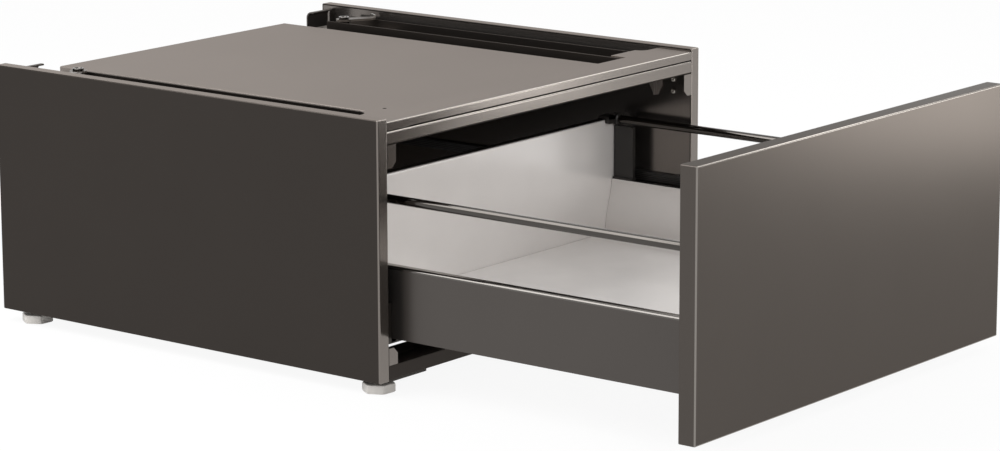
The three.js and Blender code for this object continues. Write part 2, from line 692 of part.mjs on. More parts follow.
// Cabinet member: bracket down the liner, web under the drawer side and a rail open upwards,
// with a rounded cap at its front end.
function runnerCabinet() {
  const wall = INNER - GAP;
  const s = RUNNER_SHEET;
  const web = RUNNER_WEB_Z;
  const rail0 = RUNNER_RAIL_X - RUNNER_RAIL_WIDTH;
  const rail1 = RUNNER_RAIL_X;
  const top = RUNNER_RAIL_Z + RUNNER_RAIL_HEIGHT;
  const profile = [
    [rail0, web],
    [wall, web],
    [wall, RUNNER_BRACKET_TOP],
    [wall - s, RUNNER_BRACKET_TOP],
    [wall - s, web + s],
    [rail1, web + s],
    [rail1, top],
    [rail1 - s, top],
    [rail1 - s, web + 2 * s],
    [rail0 + s, web + 2 * s],
    [rail0 + s, top],
    [rail0, top],
  ];
  const section = alongY(profile, RUNNER_FRONT, RUNNER_FRONT + RUNNER_LENGTH);
  const capIn = wall - RUNNER_CAP;
  const capOut = [
    [wall, web],
    [wall, RUNNER_BRACKET_TOP],
    [capIn, RUNNER_BRACKET_TOP],
    ...arc(capIn + 3, web + 3, 3, 180, 270, 4),
  ].reverse();
  const cap = alongY(capOut, RUNNER_FRONT, RUNNER_FRONT + RUNNER_CAP_LENGTH);
  return join(section, cap);
}

// Middle member: a hollow bar that runs in the rails above and below it.
function runnerMiddle() {
  const s = RUNNER_SHEET;
  const x0 = RUNNER_RAIL_X - RUNNER_RAIL_WIDTH + s + RUNNER_CLEAR;
  const x1 = RUNNER_RAIL_X - s - RUNNER_CLEAR;
  const z0 = RUNNER_RAIL_Z + s + RUNNER_CLEAR;
  const z1 = z0 + RUNNER_MIDDLE_HEIGHT;
  const block = slab([x0, x1], [RUNNER_FRONT, RUNNER_FRONT + RUNNER_LENGTH], [z0, z1]);
  const bore = slab(
    [x0 + s, x1 - s],
    [RUNNER_FRONT - 5, RUNNER_FRONT + RUNNER_LENGTH + 5],
    [z0 + s, z1 - s],
  );
  return cut(block, bore);
}

// Drawer member: a rail open downwards with a flange to the drawer side.
function runnerDrawer() {
  const s = RUNNER_SHEET;
  const rail0 = RUNNER_RAIL_X - RUNNER_RAIL_WIDTH;
  const rail1 = RUNNER_RAIL_X;
  const inside = RUNNER_INSIDE;
  const top = RUNNER_TOP;
  const bottom = inside - RUNNER_RAIL_HEIGHT + 2 * RUNNER_CLEAR + s;
  const wall = SIDE_OUTER - SIDE_SHEET - GAP;
  const profile = [
    [rail0, bottom],
    [rail0 + s, bottom],
    [rail0 + s, inside],
    [rail1 - s, inside],
    [rail1 - s, bottom],
    [rail1, bottom],
    [rail1, inside],
    [wall, inside],
    [wall, top],
    [rail0, top],
  ];
  return alongY(profile, RUNNER_FRONT, RUNNER_FRONT + RUNNER_LENGTH);
}

// Grooved guide strip high on the liner.
function guideStrip() {
  const [z0, z1] = GUIDE_STRIP_Z;
  const x1 = INNER - GAP;
  const x0 = x1 - GUIDE_STRIP_THICK;
  const pitch = (z1 - z0) / 5;
  const teeth = [0, 1, 2, 3, 4].flatMap((i) => [
    [x0, z0 + i * pitch],
    [x0, z0 + (i + 0.6) * pitch],
    [x0 + 1.2, z0 + (i + 0.6) * pitch],
    [x0 + 1.2, z0 + (i + 1) * pitch],
  ]);
  const profile = [...teeth, [x1, z1], [x1, z0]].reverse();
  const front = RUNNER_FRONT + GUIDE_STRIP_SET_BACK;
  return alongY(profile, front, front + RUNNER_LENGTH - GUIDE_STRIP_SHORTER);
}

// ---------------------------------------------------------------- drawer (drawn shut)

// Folded front: a pan open to the rear.
function drawerFront() {
  const half = FRONT_WIDTH / 2;
  const y1 = FRONT_BACK_Y;
  const y0 = y1 - FRONT_THICK;
  const block = alongZ(
    roundedRectangle(-half, half, y0, y1, EDGE_RADIUS),
    FRONT_BOTTOM,
    FRONT_BOTTOM + FRONT_HEIGHT,
  );
  const s = FRONT_SHEET;
  const cavity = slab(
    [-half + s, half - s],
    [y0 + s, y1 + 5],
    [FRONT_BOTTOM + s, FRONT_BOTTOM + FRONT_HEIGHT - s],
  );
  return cut(block, cavity);
}

// Inner sheet that closes the front's pan.
function frontBacking() {
  const half = FRONT_WIDTH / 2 - FRONT_SHEET - GAP;
  const z0 = FRONT_BOTTOM + FRONT_SHEET + GAP;
  const z1 = FRONT_BOTTOM + FRONT_HEIGHT - FRONT_SHEET - GAP;
  return slab([-half, half], [FRONT_BACK_Y - FRONT_SHEET, FRONT_BACK_Y], [z0, z1]);
}

// Double-walled drawer side: flat outer wall, rounded top and an inner wall that swells
// towards the floor, then turns in as the shelf that carries the floor.
function drawerSide() {
  const outer = SIDE_OUTER;
  const topIn = SIDE_OUTER - SIDE_TOP_WIDTH;
  const lowIn = SIDE_OUTER - SIDE_BOTTOM_WIDTH;
  const shelf = FLOOR_TOP - FLOOR_THICK - GAP;
  const swell = (t) => topIn + (lowIn - topIn) * Math.sin((t * Math.PI) / 2) ** 1.6;
  const steps = 10;
  const lift = FLOOR_TOP + 6;
  const curve = Array.from({ length: steps + 1 }, (_, i) => {
    const t = i / steps;
    return [swell(t), SIDE_TOP - 2 - (SIDE_TOP - 2 - lift) * t];
  });
  const path = [
    [outer, SIDE_BOTTOM],
    [outer, SIDE_TOP - 1.5],
    [outer - 1.5, SIDE_TOP],
    [topIn + 2, SIDE_TOP],
    ...curve,
    [lowIn, shelf],
    [lowIn - SIDE_SHELF, shelf],
  ];
  return alongY(bentSheet(path, SIDE_SHEET), FRONT_BACK_Y + GAP, BACK_Y - GAP);
}

// Floor: a shallow pan turned upside down on the sides' shelves.
function drawerFloor() {
  const half = SIDE_OUTER - SIDE_BOTTOM_WIDTH - GAP;
  const y0 = FRONT_BACK_Y + GAP;
  const y1 = BACK_Y - GAP;
  const z0 = FLOOR_TOP - FLOOR_THICK;
  const s = FLOOR_SHEET;
  const block = slab([-half, half], [y0, y1], [z0, FLOOR_TOP]);
  const hollow = slab([-half + s, half - s], [y0 + s, y1 - s], [z0 - 5, FLOOR_TOP - s]);
  return cut(block, hollow);
}

// Back: a sheet whose top and bottom edges turn to the rear.
function drawerBack() {
  const y = BACK_Y;
  const path = [
    [y + BACK_THICK, BACK_TOP],
    [y, BACK_TOP],
    [y, SIDE_BOTTOM + 2],
    [y + BACK_THICK, SIDE_BOTTOM + 2],
  ];
  const half = SIDE_OUTER - BACK_END_INSET;
  const clear = RUNNER_RAIL_X - RUNNER_RAIL_WIDTH - 1;
  const notches = [-1, 1].map((side) => slab(
    side < 0 ? [-half - 5, -clear] : [clear, half + 5],
    [y - 5, y + BACK_THICK + 5],
    [SIDE_BOTTOM - 5, RUNNER_TOP + 1.5],
  ));
  return cut(alongX(bentSheet(path, BACK_SHEET), -half, half), ...notches);
}

// Round gallery rail from the front's socket to the rear clip.
function galleryRail() {
  const x = RAIL_X;
  const y0 = FRONT_BACK_Y + 3;
  const y1 = BACK_Y - CLIP_LENGTH;
  return lyingY(RAIL_RADIUS, x, RAIL_HEIGHT, y0, y1, 24);
}

// Rear post: stands on the drawer side and carries the rail's rear clip.
function rearPost() {
  const x = RAIL_X;
  const y1 = BACK_Y - GAP - POST_SET_BACK;
  const plate = slab(
    [x - POST_THICK / 2, x + POST_THICK / 2],
    [y1 - POST_WIDTH, y1],
    [SIDE_TOP + GAP, RAIL_HEIGHT - CLIP_RADIUS - GAP],
  );
  const base = slab(
    [x - POST_THICK, x + POST_THICK],
    [y1 - POST_WIDTH, y1],
    [SIDE_TOP + GAP, SIDE_TOP + GAP + 2],
  );
  return join(plate, base);
}

// Clip on the drawer back that holds the rail's rear end.
function rearClip() {
  const x = RAIL_X;
  const ring = lyingY(CLIP_RADIUS, x, RAIL_HEIGHT, BACK_Y - CLIP_LENGTH + GAP, BACK_Y - GAP, 24);
  const nub = slab([x - 20, x], [BACK_Y - 6, BACK_Y - GAP], [RAIL_HEIGHT - 4, RAIL_HEIGHT + 5]);
  const saddle = slab(
    [x - 20, x - 6],
    [BACK_Y - 6, BACK_Y + BACK_THICK - 2],
    [BACK_TOP + GAP, RAIL_HEIGHT + 5],
  );
  return join(ring, nub, saddle);
}

// Socket on the back of the drawer front that takes the rail's front end.
function frontSocket() {
  const x = RAIL_X;
  const y0 = FRONT_BACK_Y + GAP;
  const body = lyingY(SOCKET_RADIUS, x, RAIL_HEIGHT, y0, y0 + SOCKET_LENGTH, 24);
  const bore = lyingY(RAIL_RADIUS + GAP, x, RAIL_HEIGHT, y0 + 2.4, y0 + SOCKET_LENGTH + 5, 24);
  return cut(body, bore);
}

// ---------------------------------------------------------------- assembly

function buildCabinet() {
  const cabinet = new THREE.Group();
  pair(cabinet, 'side_panel', sidePanel(), LACQUER);
  pair(cabinet, 'side_liner', sideLiner(), LACQUER);
  piece(cabinet, 'deck_plate', deckPlate(), LACQUER_LIGHT());
  piece(cabinet, 'top_crossbar', topCrossbar(), LACQUER_LIGHT());
  piece(cabinet, 'front_trim', frontTrim(), LACQUER_LIGHT());
  pair(cabinet, 'guide_channel', guideChannel(), LACQUER);
  const topGusset = gusset(CROSSBAR_BOTTOM - TOP_GUSSET_DROP, CROSSBAR_BOTTOM - GAP, false);
  pair(cabinet, 'top_gusset', topGusset, LACQUER);
  const lowGusset = gusset(BAR_TOP + GAP, FOOT_HEIGHT + BOTTOM_GUSSET_TOP, true);
  pair(cabinet, 'bottom_gusset', lowGusset, LACQUER);
  piece(cabinet, 'bottom_crossbar', bottomCrossbar(), LACQUER());
  piece(cabinet, 'rear_crossbar', rearCrossbar(), LACQUER());
  pair(cabinet, 'foot_plate_front', footPlate(FOOT_FRONT_Y), DARK_STEEL);
  pair(cabinet, 'foot_plate_rear', footPlate(FOOT_REAR_Y), DARK_STEEL);
  piece(cabinet, 'rear_panel', rearPanel(), LACQUER());
  pair(cabinet, 'rear_hook', rearHook(), DARK_STEEL);
  pair(cabinet, 'latch_plate', latchPlate(), DARK_STEEL);
  pair(cabinet, 'latch_bolt', latchBolt(), BRIGHT_STEEL);
  pair(cabinet, 'stop_tab', stopTab(), LACQUER_LIGHT);
  SCREW_HEIGHTS.forEach((z, i) => pair(cabinet, `screw_${i + 1}`, screw(z), BRIGHT_STEEL));
  pair(cabinet, 'runner_cabinet', runnerCabinet(), DARK_STEEL);
  pair(cabinet, 'guide_strip', guideStrip(), DARK_PLASTIC);
  return cabinet;
}

function buildLatches(cabinet) {
  const arm = latchArm()
    .rotateZ(THREE.MathUtils.degToRad(LATCH_ANGLE))
    .translate(LATCH_BOLT_X, LATCH_BOLT_Y, LATCH_Z);
  pair(cabinet, 'latch_arm', arm, BRIGHT_STEEL);
}

function buildFeet(cabinet) {
  const places = {
    front_left: [-FOOT_X, FOOT_FRONT_Y],
    front_right: [FOOT_X, FOOT_FRONT_Y],
    rear_left: [-FOOT_X, FOOT_REAR_Y],
    rear_right: [FOOT_X, FOOT_REAR_Y],
  };
  for (const [name, [px, py]] of Object.entries(places)) {
    piece(cabinet, `foot_${name}`, foot(), PALE_PLASTIC()).position.set(px, py, 0);
  }
}

function buildDrawer() {
  const drawer = new THREE.Group();
  piece(drawer, 'drawer_front', drawerFront(), LACQUER());
  piece(drawer, 'front_backing', frontBacking(), LACQUER());
  pair(drawer, 'drawer_side', drawerSide(), LACQUER);
  piece(drawer, 'drawer_floor', drawerFloor(), PALE_COAT());
  piece(drawer, 'drawer_back', drawerBack(), PALE_COAT());
  pair(drawer, 'gallery_rail', galleryRail(), DARK_STEEL);
  pair(drawer, 'rear_post', rearPost(), DARK_PLASTIC);
  pair(drawer, 'rear_clip', rearClip(), DARK_PLASTIC);
  pair(drawer, 'front_socket', frontSocket(), DARK_PLASTIC);
  pair(drawer, 'runner_drawer', runnerDrawer(), DARK_STEEL);
  drawer.position.y = -OPEN_AT_REST;
  return drawer;
}

function buildMiddleRunners() {
  const middle = new THREE.Group();
  pair(middle, 'runner_middle', runnerMiddle(), DARK_STEEL);
  middle.position.y = -OPEN_AT_REST / 2;
  return middle;
}

const pedestal = new THREE.Group();
const cabinet = buildCabinet();
buildLatches(cabinet);
buildFeet(cabinet);
pedestal.add(cabinet, buildMiddleRunners(), buildDrawer());
pedestal.position.y = -ORIGIN_Y;

export default pedestal;
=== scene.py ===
# %% [markdown]
# # A washer pedestal with its drawer pulled out
# This lesson dresses a packed sheet-metal model. The frame below is the measured model: every
# part of it is already in place, in metres, with the floor at z = 0 and the drawer opening
# towards -Y. What is left for this file is the look: the rounded folds that catch the light,
# the turned and milled bits, the finishes, the studio and the camera.

# %% The measured model
import json
import bpy
import numpy as np
from mathutils import Matrix, Vector
from mathutils.geometry import tessellate_polygon


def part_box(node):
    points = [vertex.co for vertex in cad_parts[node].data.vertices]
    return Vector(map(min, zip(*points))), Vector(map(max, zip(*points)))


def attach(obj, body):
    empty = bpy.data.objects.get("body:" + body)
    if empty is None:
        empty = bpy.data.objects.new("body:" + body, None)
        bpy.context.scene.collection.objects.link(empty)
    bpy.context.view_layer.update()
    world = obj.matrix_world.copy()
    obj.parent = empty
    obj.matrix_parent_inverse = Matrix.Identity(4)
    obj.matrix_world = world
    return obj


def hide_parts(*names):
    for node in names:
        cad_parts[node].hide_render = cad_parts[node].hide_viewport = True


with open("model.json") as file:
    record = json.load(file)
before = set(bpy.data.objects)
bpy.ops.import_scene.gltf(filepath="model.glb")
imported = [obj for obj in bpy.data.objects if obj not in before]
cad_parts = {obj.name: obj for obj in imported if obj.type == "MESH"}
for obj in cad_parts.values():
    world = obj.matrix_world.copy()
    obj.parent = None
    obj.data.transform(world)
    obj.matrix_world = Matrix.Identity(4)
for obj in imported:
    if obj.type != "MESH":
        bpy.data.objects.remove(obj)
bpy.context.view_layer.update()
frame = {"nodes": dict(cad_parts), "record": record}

# %% [markdown]
# ## Camera
# The picture was drawn with upright lines kept parallel, which a lens does by shifting. A shift
# that large would push the object out of every other view, so a plain unshifted camera was
# fitted to the same corners instead. It looks 12 degrees down from the front left, through a
# long lens. The fit gives three angles, a place and a focal length.

# %% Camera
def camera_axes(pitch, yaw, roll):
    """Rows: the view's right, up and backward directions, from degrees down, round and tilted."""
    p, y, r = np.radians([pitch, yaw, roll])
    ahead = np.array([np.sin(y) * np.cos(p), np.cos(y) * np.cos(p), -np.sin(p)])
    level = np.cross(ahead, [0.0, 0.0, 1.0])
    level /= np.linalg.norm(level)
    above = np.cross(level, ahead)
    right = level * np.cos(r) + above * np.sin(r)
    up = above * np.cos(r) - level * np.sin(r)
    return np.array([right, up, -ahead])


LOOK_DOWN, LOOK_ROUND, TILT = 12.3120, 51.6528, -0.18380
CAMERA_PLACE = (-3.2644, -2.5955, 1.0397)
FOCAL_LENGTH, FILM_WIDTH = 133.033, 36.0
lens = bpy.data.cameras.new("studio_camera")
lens.sensor_width = FILM_WIDTH
lens.lens = FOCAL_LENGTH
lens.clip_start, lens.clip_end = 0.1, 60.0
camera = bpy.data.objects.new("studio_camera", lens)
bpy.context.scene.collection.objects.link(camera)
turn = Matrix(camera_axes(LOOK_DOWN, LOOK_ROUND, TILT).tolist()).transposed().to_4x4()
camera.matrix_world = Matrix.Translation(CAMERA_PLACE) @ turn
bpy.context.scene.camera = camera
bpy.context.scene.view_settings.view_transform = "Standard"
print("camera at", tuple(round(c, 3) for c in camera.location))

# %% [markdown]
# ## Drawing with numpy
# A bent sheet, a turned bolt and a folded pan are all the same thing to a computer: a grid of
# points worked out from two numbers, joined up with four-sided faces. One helper turns such a
# grid into faces, closes its two ends, and makes sure that they point outwards by measuring the
# volume inside: if it comes out negative, every face is turned round.

# %% From a grid of points to a closed skin
MM = 0.001


def ring_faces(rows, columns, first=0):
    """Quads between neighbouring rows of a grid whose columns run round a closed ring."""
    index = first + np.arange(rows * columns).reshape(rows, columns)
    index = np.concatenate([index, index[:, :1]], axis=1)
    quads = np.stack([index[:-1, :-1], index[:-1, 1:], index[1:, 1:], index[1:, :-1]], axis=-1)
    return quads.reshape(-1, 4).tolist()


def volume(points, faces):
    """Signed volume: one sixth of the sum of a . (b x c) over every triangle of every face."""
    corners = np.array([(f[0], b, c) for f in faces for b, c in zip(f[1:-1], f[2:])])
    a, b, c = (points[corners[:, i]] for i in range(3))
    return float(np.einsum("ij,ij->i", a, np.cross(b, c)).sum() / 6)


def outwards(points, faces):
    """The same skin, with every face pointing out of the solid that it closes."""
    if volume(points, faces) < 0:
        faces = [face[::-1] for face in faces]
    return points, faces


def loft(rings):
    """Closed skin over a stack of rings (rows, columns, 3), with a flat face on either end."""
    rows, columns = rings.shape[:2]
    faces = ring_faces(rows, columns)
    faces.append(list(range(columns))[::-1])
    faces.append(list(range((rows - 1) * columns, rows * columns)))
    return outwards(rings.reshape(-1, 3), faces)


def mirrored(skin):
    """The left-hand twin: x changes sign, so each face is read backwards."""
    points, faces = skin
    return points * [-1, 1, 1], [face[::-1] for face in faces]


square = np.array([(0, 0, 0), (1, 0, 0), (1, 1, 0), (0, 1, 0)], float)
print("a unit cube holds", volume(*loft(np.stack([square, square + [0, 0, 1]]))))

# %% [markdown]
# Two flat numbers and a depth become a place in space by choosing which axis the depth lies on.
# A profile drawn once can then be carried along X, along Y or up Z.

# %% Choosing the axis
AXES = {"X": (2, 0, 1), "Y": (0, 2, 1), "Z": (0, 1, 2)}


def placed(across, up, depth, axis):
    """(across, up, depth) as x, y, z. X: y and z are drawn. Y: x and z. Z: x and y."""
    stacked = np.stack(np.broadcast_arrays(across, up, depth), axis=-1)
    return stacked[..., list(AXES[axis])]


print("a point 3 deep on X:", placed(1.0, 2.0, 3.0, "X"))

# %% [markdown]
# ## Bent sheet
# Most of the pedestal is steel sheet about a millimetre and a half thick. A press bends it over
# an edge, so no corner is sharp: it is an arc as wide as the tool. The path below runs through
# the corners, swaps each for its arc, and is then given a second face beside the first.

# %% Folding a sheet
HOLD = 0.3


def folded(corners, radius, steps=7):
    """Path through corners (n, 2) in millimetres, each inner one swapped for an arc: the two
    radii to the arc's ends are blended by sines, which turns one into the other at a steady rate.
    A point close before and after each arc keeps the shading of the flats flat."""
    p = np.asarray(corners, float)
    before = p[1:-1] - p[:-2]
    after = p[2:] - p[1:-1]
    before /= np.linalg.norm(before, axis=1, keepdims=True)
    after /= np.linalg.norm(after, axis=1, keepdims=True)
    bend = np.arccos(np.clip((before * after).sum(1), -1, 1))[:, None]
    radius = np.broadcast_to(np.asarray(radius, float), (len(p) - 2,))[:, None]
    reach = radius * np.tan(bend / 2)
    start, end = p[1:-1] - before * reach, p[1:-1] + after * reach
    inward = after - before
    inward /= np.linalg.norm(inward, axis=1, keepdims=True)
    centre = p[1:-1] + inward * radius / np.cos(bend / 2)
    s = np.linspace(0, 1, steps)[None, :, None]
    bend = bend[..., None]
    leaving = np.sin((1 - s) * bend) * (start - centre)[:, None]
    arriving = np.sin(s * bend) * (end - centre)[:, None]
    arcs = centre[:, None] + (leaving + arriving) / np.sin(bend)
    lead_in, lead_out = (start - before * HOLD)[:, None], (end + after * HOLD)[:, None]
    held = np.concatenate([lead_in, arcs, lead_out], axis=1)
    return np.concatenate([p[:1], held.reshape(-1, 2), p[-1:]])


def beside(path, sheet):
    """The path moved to its left by the sheet's thickness, along the mean of two normals."""
    step = np.diff(path, axis=0)
    step /= np.linalg.norm(step, axis=1, keepdims=True)
    normal = np.stack([-step[:, 1], step[:, 0]], axis=1)
    mean = np.concatenate([normal[:1], (normal[:-1] + normal[1:]) / 2, normal[-1:]])
    return path + sheet * mean / (mean**2).sum(1, keepdims=True)


def bent_sheet(path, sheet, axis, start, end):
    """Sheet whose section is the path, carried straight from start to end along an axis: the
    ring is the path and its neighbour backwards, and each end is closed by a strip of quads."""
    ring = np.concatenate([path, beside(path, sheet)[::-1]]) * MM
    n, m = len(path), 2 * len(path)
    rows = np.stack([placed(ring[:, 0], ring[:, 1], d * MM, axis) for d in (start, end)])
    i = np.arange(n - 1)
    strip = np.stack([i, i + 1, m - 2 - i, m - 1 - i], axis=1)
    faces = ring_faces(2, m) + strip[:, ::-1].tolist() + (strip + m).tolist()
    return outwards(rows.reshape(-1, 3), faces)


angle_iron = bent_sheet(folded([(0, 20), (0, 0), (20, 0)], 2), 1.5, "X", 0, 100)
print("an angle iron is", len(angle_iron[0]), "points and", len(angle_iron[1]), "faces")

# %% [markdown]
# ## Folded pan
# The side panels, the drawer's front, the deck and the drawer's floor are pans: a flat face with
# its four edges folded back. Seen as a grid, one number runs round a rounded rectangle and the
# other runs from the face over the fold, down the flange, round its cut edge and back inside.

# %% Pan
LEAST_INNER, LEAST_CORNER = 0.4, 0.25


def pan(low, high, axis, closed_at_high, sheet, fold, corner):
    """Rounded rectangle drawn in by an inset that depends on the depth: fold quarter circle,
    flange, half circle round the rim, inner flange, inner quarter circle. A ring close to each
    end of a curve keeps the shading of the flats flat. Low and high are the box's corners in
    metres, and the sheet's thickness and the two radii are in millimetres."""
    low, high = np.asarray(low) / MM, np.asarray(high) / MM
    across, up, deep = (list(AXES[axis]).index(k) for k in range(3))
    size = high - low
    quarter = np.linspace(0, np.pi / 2, 7)
    half = np.linspace(0, np.pi, 7)
    inner = max(fold - sheet, LEAST_INNER)
    edge, hold = sheet / 2, 2 * HOLD
    rim = size[deep] - edge
    inset = np.concatenate([[fold + hold], fold * (1 - np.sin(quarter)), [0, 0],
                            edge * (1 - np.cos(half)), [sheet, sheet],
                            sheet + inner * (1 - np.cos(quarter)), [sheet + inner + hold]])
    depth = np.concatenate([[0], fold * (1 - np.cos(quarter)), [fold + hold, rim - hold],
                            rim + edge * np.sin(half), [rim - hold, sheet + inner + hold],
                            sheet + inner * (1 - np.sin(quarter)), [sheet]])
    angle = np.linspace(0, np.pi / 2, 6)[None] + np.arange(4)[:, None] * np.pi / 2
    sign_a = np.array([1, -1, -1, 1])[:, None]
    sign_b = np.array([1, 1, -1, -1])[:, None]
    radius = np.maximum(corner - inset, LEAST_CORNER)[:, None, None]
    a = sign_a * (size[across] / 2 - inset[:, None, None] - radius) + radius * np.cos(angle)
    b = sign_b * (size[up] / 2 - inset[:, None, None] - radius) + radius * np.sin(angle)
    middle = (low + high) / 2
    d = high[deep] - depth if closed_at_high else low[deep] + depth
    rows = len(inset)
    d = np.broadcast_to(d[:, None, None], a.shape)
    rings = placed(a + middle[across], b + middle[up], d, axis).reshape(rows, -1, 3) * MM
    return loft(rings)


tray = pan((0, 0, 0), (0.2, 0.1, 0.02), "Z", False, sheet=1.5, fold=1.9, corner=1.6)
print("a small tray holds", round(volume(*tray) / MM**3), "cubic millimetres of steel")

# %% [markdown]
# ## Turned parts
# Rails, bolts, studs and sockets come off a lathe. The profile gives a radius for each height
# and is swept round the axis. A profile that stays off the axis ends in a small flat face, so
# nothing is left open at the poles.

# %% Turning
def turned(profile, centre, axis, sides=40):
    """Each (radius, height) becomes a circle: centre + radius * (cos t, sin t), at that height."""
    r, h = np.asarray(profile, float).T
    t = np.linspace(0, 2 * np.pi, sides, endpoint=False)[None]
    a, b, d = centre
    rings = placed(a + r[:, None] * np.cos(t), b + r[:, None] * np.sin(t), d + h[:, None], axis)
    return loft(rings * MM)


def rounded_bar(radius, start, end, edge):
    """Profile of a bar with rounded ends: a quarter circle, the straight, a quarter circle."""
    q = np.linspace(0, np.pi / 2, 5)
    head = np.stack([radius - edge + edge * np.sin(q), start + edge * (1 - np.cos(q))], axis=1)
    tail = np.stack([radius - edge + edge * np.cos(q), end - edge + edge * np.sin(q)], axis=1)
    return np.concatenate([head, tail])


pin = turned(rounded_bar(5, 0, 20, 1), (0, 0, 0), "Z")
print("a turned pin is", len(pin[0]), "points and", len(pin[1]), "faces")

# %% [markdown]
# ## Flat plates with holes
# A plate is an outline with a thickness. Its holes are outlines too. The flat faces are filled
# with triangles that leave the holes open, and a band of quads closes every edge.

# %% Plates
SLIVER = 1e-14


def circle(x, y, radius, sides=32):
    """Points at equal angles round a centre."""
    t = np.linspace(0, 2 * np.pi, sides, endpoint=False)
    return np.stack([x + radius * np.cos(t), y + radius * np.sin(t)], axis=1)


def plate(outline, axis, start, end, holes=()):
    """Outline and holes repeated at two depths: filled faces at each, and quads round each
    loop. Triangles thinner than a sliver are dropped, and all are made to run the same way."""
    loops = [np.asarray(loop, float) for loop in (outline, *holes)]
    flat = np.concatenate(loops) * MM
    count = len(flat)
    points = np.concatenate([placed(flat[:, 0], flat[:, 1], d * MM, axis) for d in (start, end)])
    fill = np.array(tessellate_polygon([[Vector((x, y, 0)) for x, y in loop] for loop in loops]))
    p = flat[fill]
    area = np.cross(p[:, 1] - p[:, 0], p[:, 2] - p[:, 0])
    fill = np.where(area[:, None] < 0, fill[:, ::-1], fill)[np.abs(area) > SLIVER]
    faces = fill[:, ::-1].tolist() + (fill + count).tolist()
    first = 0
    for number, loop in enumerate(loops):
        n = len(loop)
        x, y = loop.T
        anticlockwise = (x * np.roll(y, -1) - y * np.roll(x, -1)).sum() > 0
        i = first + np.arange(n)
        j = first + (np.arange(n) + 1) % n
        walls = np.stack([i, j, j + count, i + count], axis=1)
        turned_in = anticlockwise if number else not anticlockwise
        faces += (walls[:, ::-1] if turned_in else walls).tolist()
        first += n
    return outwards(points, faces)


def rounded_rectangle(x0, x1, y0, y1, radius, steps=5):
    """Four quarter circles, one round each corner's centre."""
    t = np.linspace(0, np.pi / 2, steps)[None] + np.arange(4)[:, None] * np.pi / 2
    cx = np.array([x1 - radius, x0 + radius, x0 + radius, x1 - radius])[:, None]
    cy = np.array([y1 - radius, y1 - radius, y0 + radius, y0 + radius])[:, None]
    return np.stack([cx + radius * np.cos(t), cy + radius * np.sin(t)], axis=-1).reshape(-1, 2)


washer = plate(circle(0, 0, 10), "Z", 0, 2, [circle(0, 0, 5)])
print("a washer holds", round(volume(*washer) / MM**3), "cubic millimetres of steel")

# %% [markdown]
# ## Finishes
# Every finish here is built from the same few nodes: noise, a ramp that turns it into two close
# colours, a range that turns it into a slight change of gloss, and a bump. An image would do as
# well, but it needs the mesh unwrapped first and blurs up close. Noise read from the object's own
# coordinates in metres needs no unwrapping, and its grain keeps its true size on every piece.

# %% An empty material
def new_material(name):
    """A material with only a Principled shader: itself, its tree, the shader, and the output
    that says where on the object a point lies."""
    material = bpy.data.materials.new(name)
    material.use_nodes = True
    tree = material.node_tree
    tree.nodes.clear()
    output = tree.nodes.new("ShaderNodeOutputMaterial")
    shader = tree.nodes.new("ShaderNodeBsdfPrincipled")
    tree.links.new(shader.outputs["BSDF"], output.inputs["Surface"])
    where = tree.nodes.new("ShaderNodeTexCoord").outputs["Object"]
    return material, tree, shader, where


# %% Noise and what it drives
def noise(tree, where, scale, detail=2.0, stretch=None):
    """Noise with about `scale` blobs to the metre, drawn out along an axis if asked."""
    if stretch:
        mapping = tree.nodes.new("ShaderNodeMapping")
        mapping.inputs["Scale"].default_value = stretch
        tree.links.new(where, mapping.inputs["Vector"])
        where = mapping.outputs["Vector"]
    node = tree.nodes.new("ShaderNodeTexNoise")
    node.inputs["Scale"].default_value = scale
    node.inputs["Detail"].default_value = detail
    tree.links.new(where, node.inputs["Vector"])
    return node.outputs["Fac"]


def between(tree, value, low, high, start=0.2, end=0.8):
    """Stretches noise so that start..end becomes low..high."""
    node = tree.nodes.new("ShaderNodeMapRange")
    node.inputs["From Min"].default_value = start
    node.inputs["From Max"].default_value = end
    node.inputs["To Min"].default_value = low
    node.inputs["To Max"].default_value = high
    tree.links.new(value, node.inputs["Value"])
    return node.outputs["Result"]


def two_tone(tree, value, dark, light, start=0.2, end=0.8):
    """A ramp from one colour to another, driven by noise."""
    ramp = tree.nodes.new("ShaderNodeValToRGB")
    ramp.color_ramp.elements[0].position = start
    ramp.color_ramp.elements[1].position = end
    ramp.color_ramp.elements[0].color = (*dark, 1)
    ramp.color_ramp.elements[1].color = (*light, 1)
    tree.links.new(value, ramp.inputs["Fac"])
    return ramp.outputs["Color"]


def rough(tree, shader, height, strength, distance):
    """Bump from a height, in metres."""
    bump = tree.nodes.new("ShaderNodeBump")
    bump.inputs["Strength"].default_value = strength
    bump.inputs["Distance"].default_value = distance
    tree.links.new(height, bump.inputs["Height"])
    tree.links.new(bump.outputs["Normal"], shader.inputs["Normal"])


def linear(red, green, blue):
    """A colour read off a screen, 0 to 255, as the light it stands for."""
    c = np.array([red, green, blue]) / 255
    return tuple(np.where(c <= 0.04045, c / 12.92, ((c + 0.055) / 1.055) ** 2.4).tolist())


print("mid grey on a screen is", [round(c, 3) for c in linear(128, 128, 128)], "as light")

# %% [markdown]
# ## Lacquer
# The cabinet has a warm titanium brown lacquer with fine metal flake in it. Up close it has three
# things that a flat colour lacks: flakes a third of a millimetre across, a slow cloudiness from
# spraying, and the faint ripple called orange peel. All three are noise, each at its own scale,
# so no flake has to be modelled.

# %% Lacquer
FLAKES, CLOUDS, RIPPLES = 2600, 9, 420
FLAKE_SHARE = 0.45
FINE_DEPTH = 0.0001


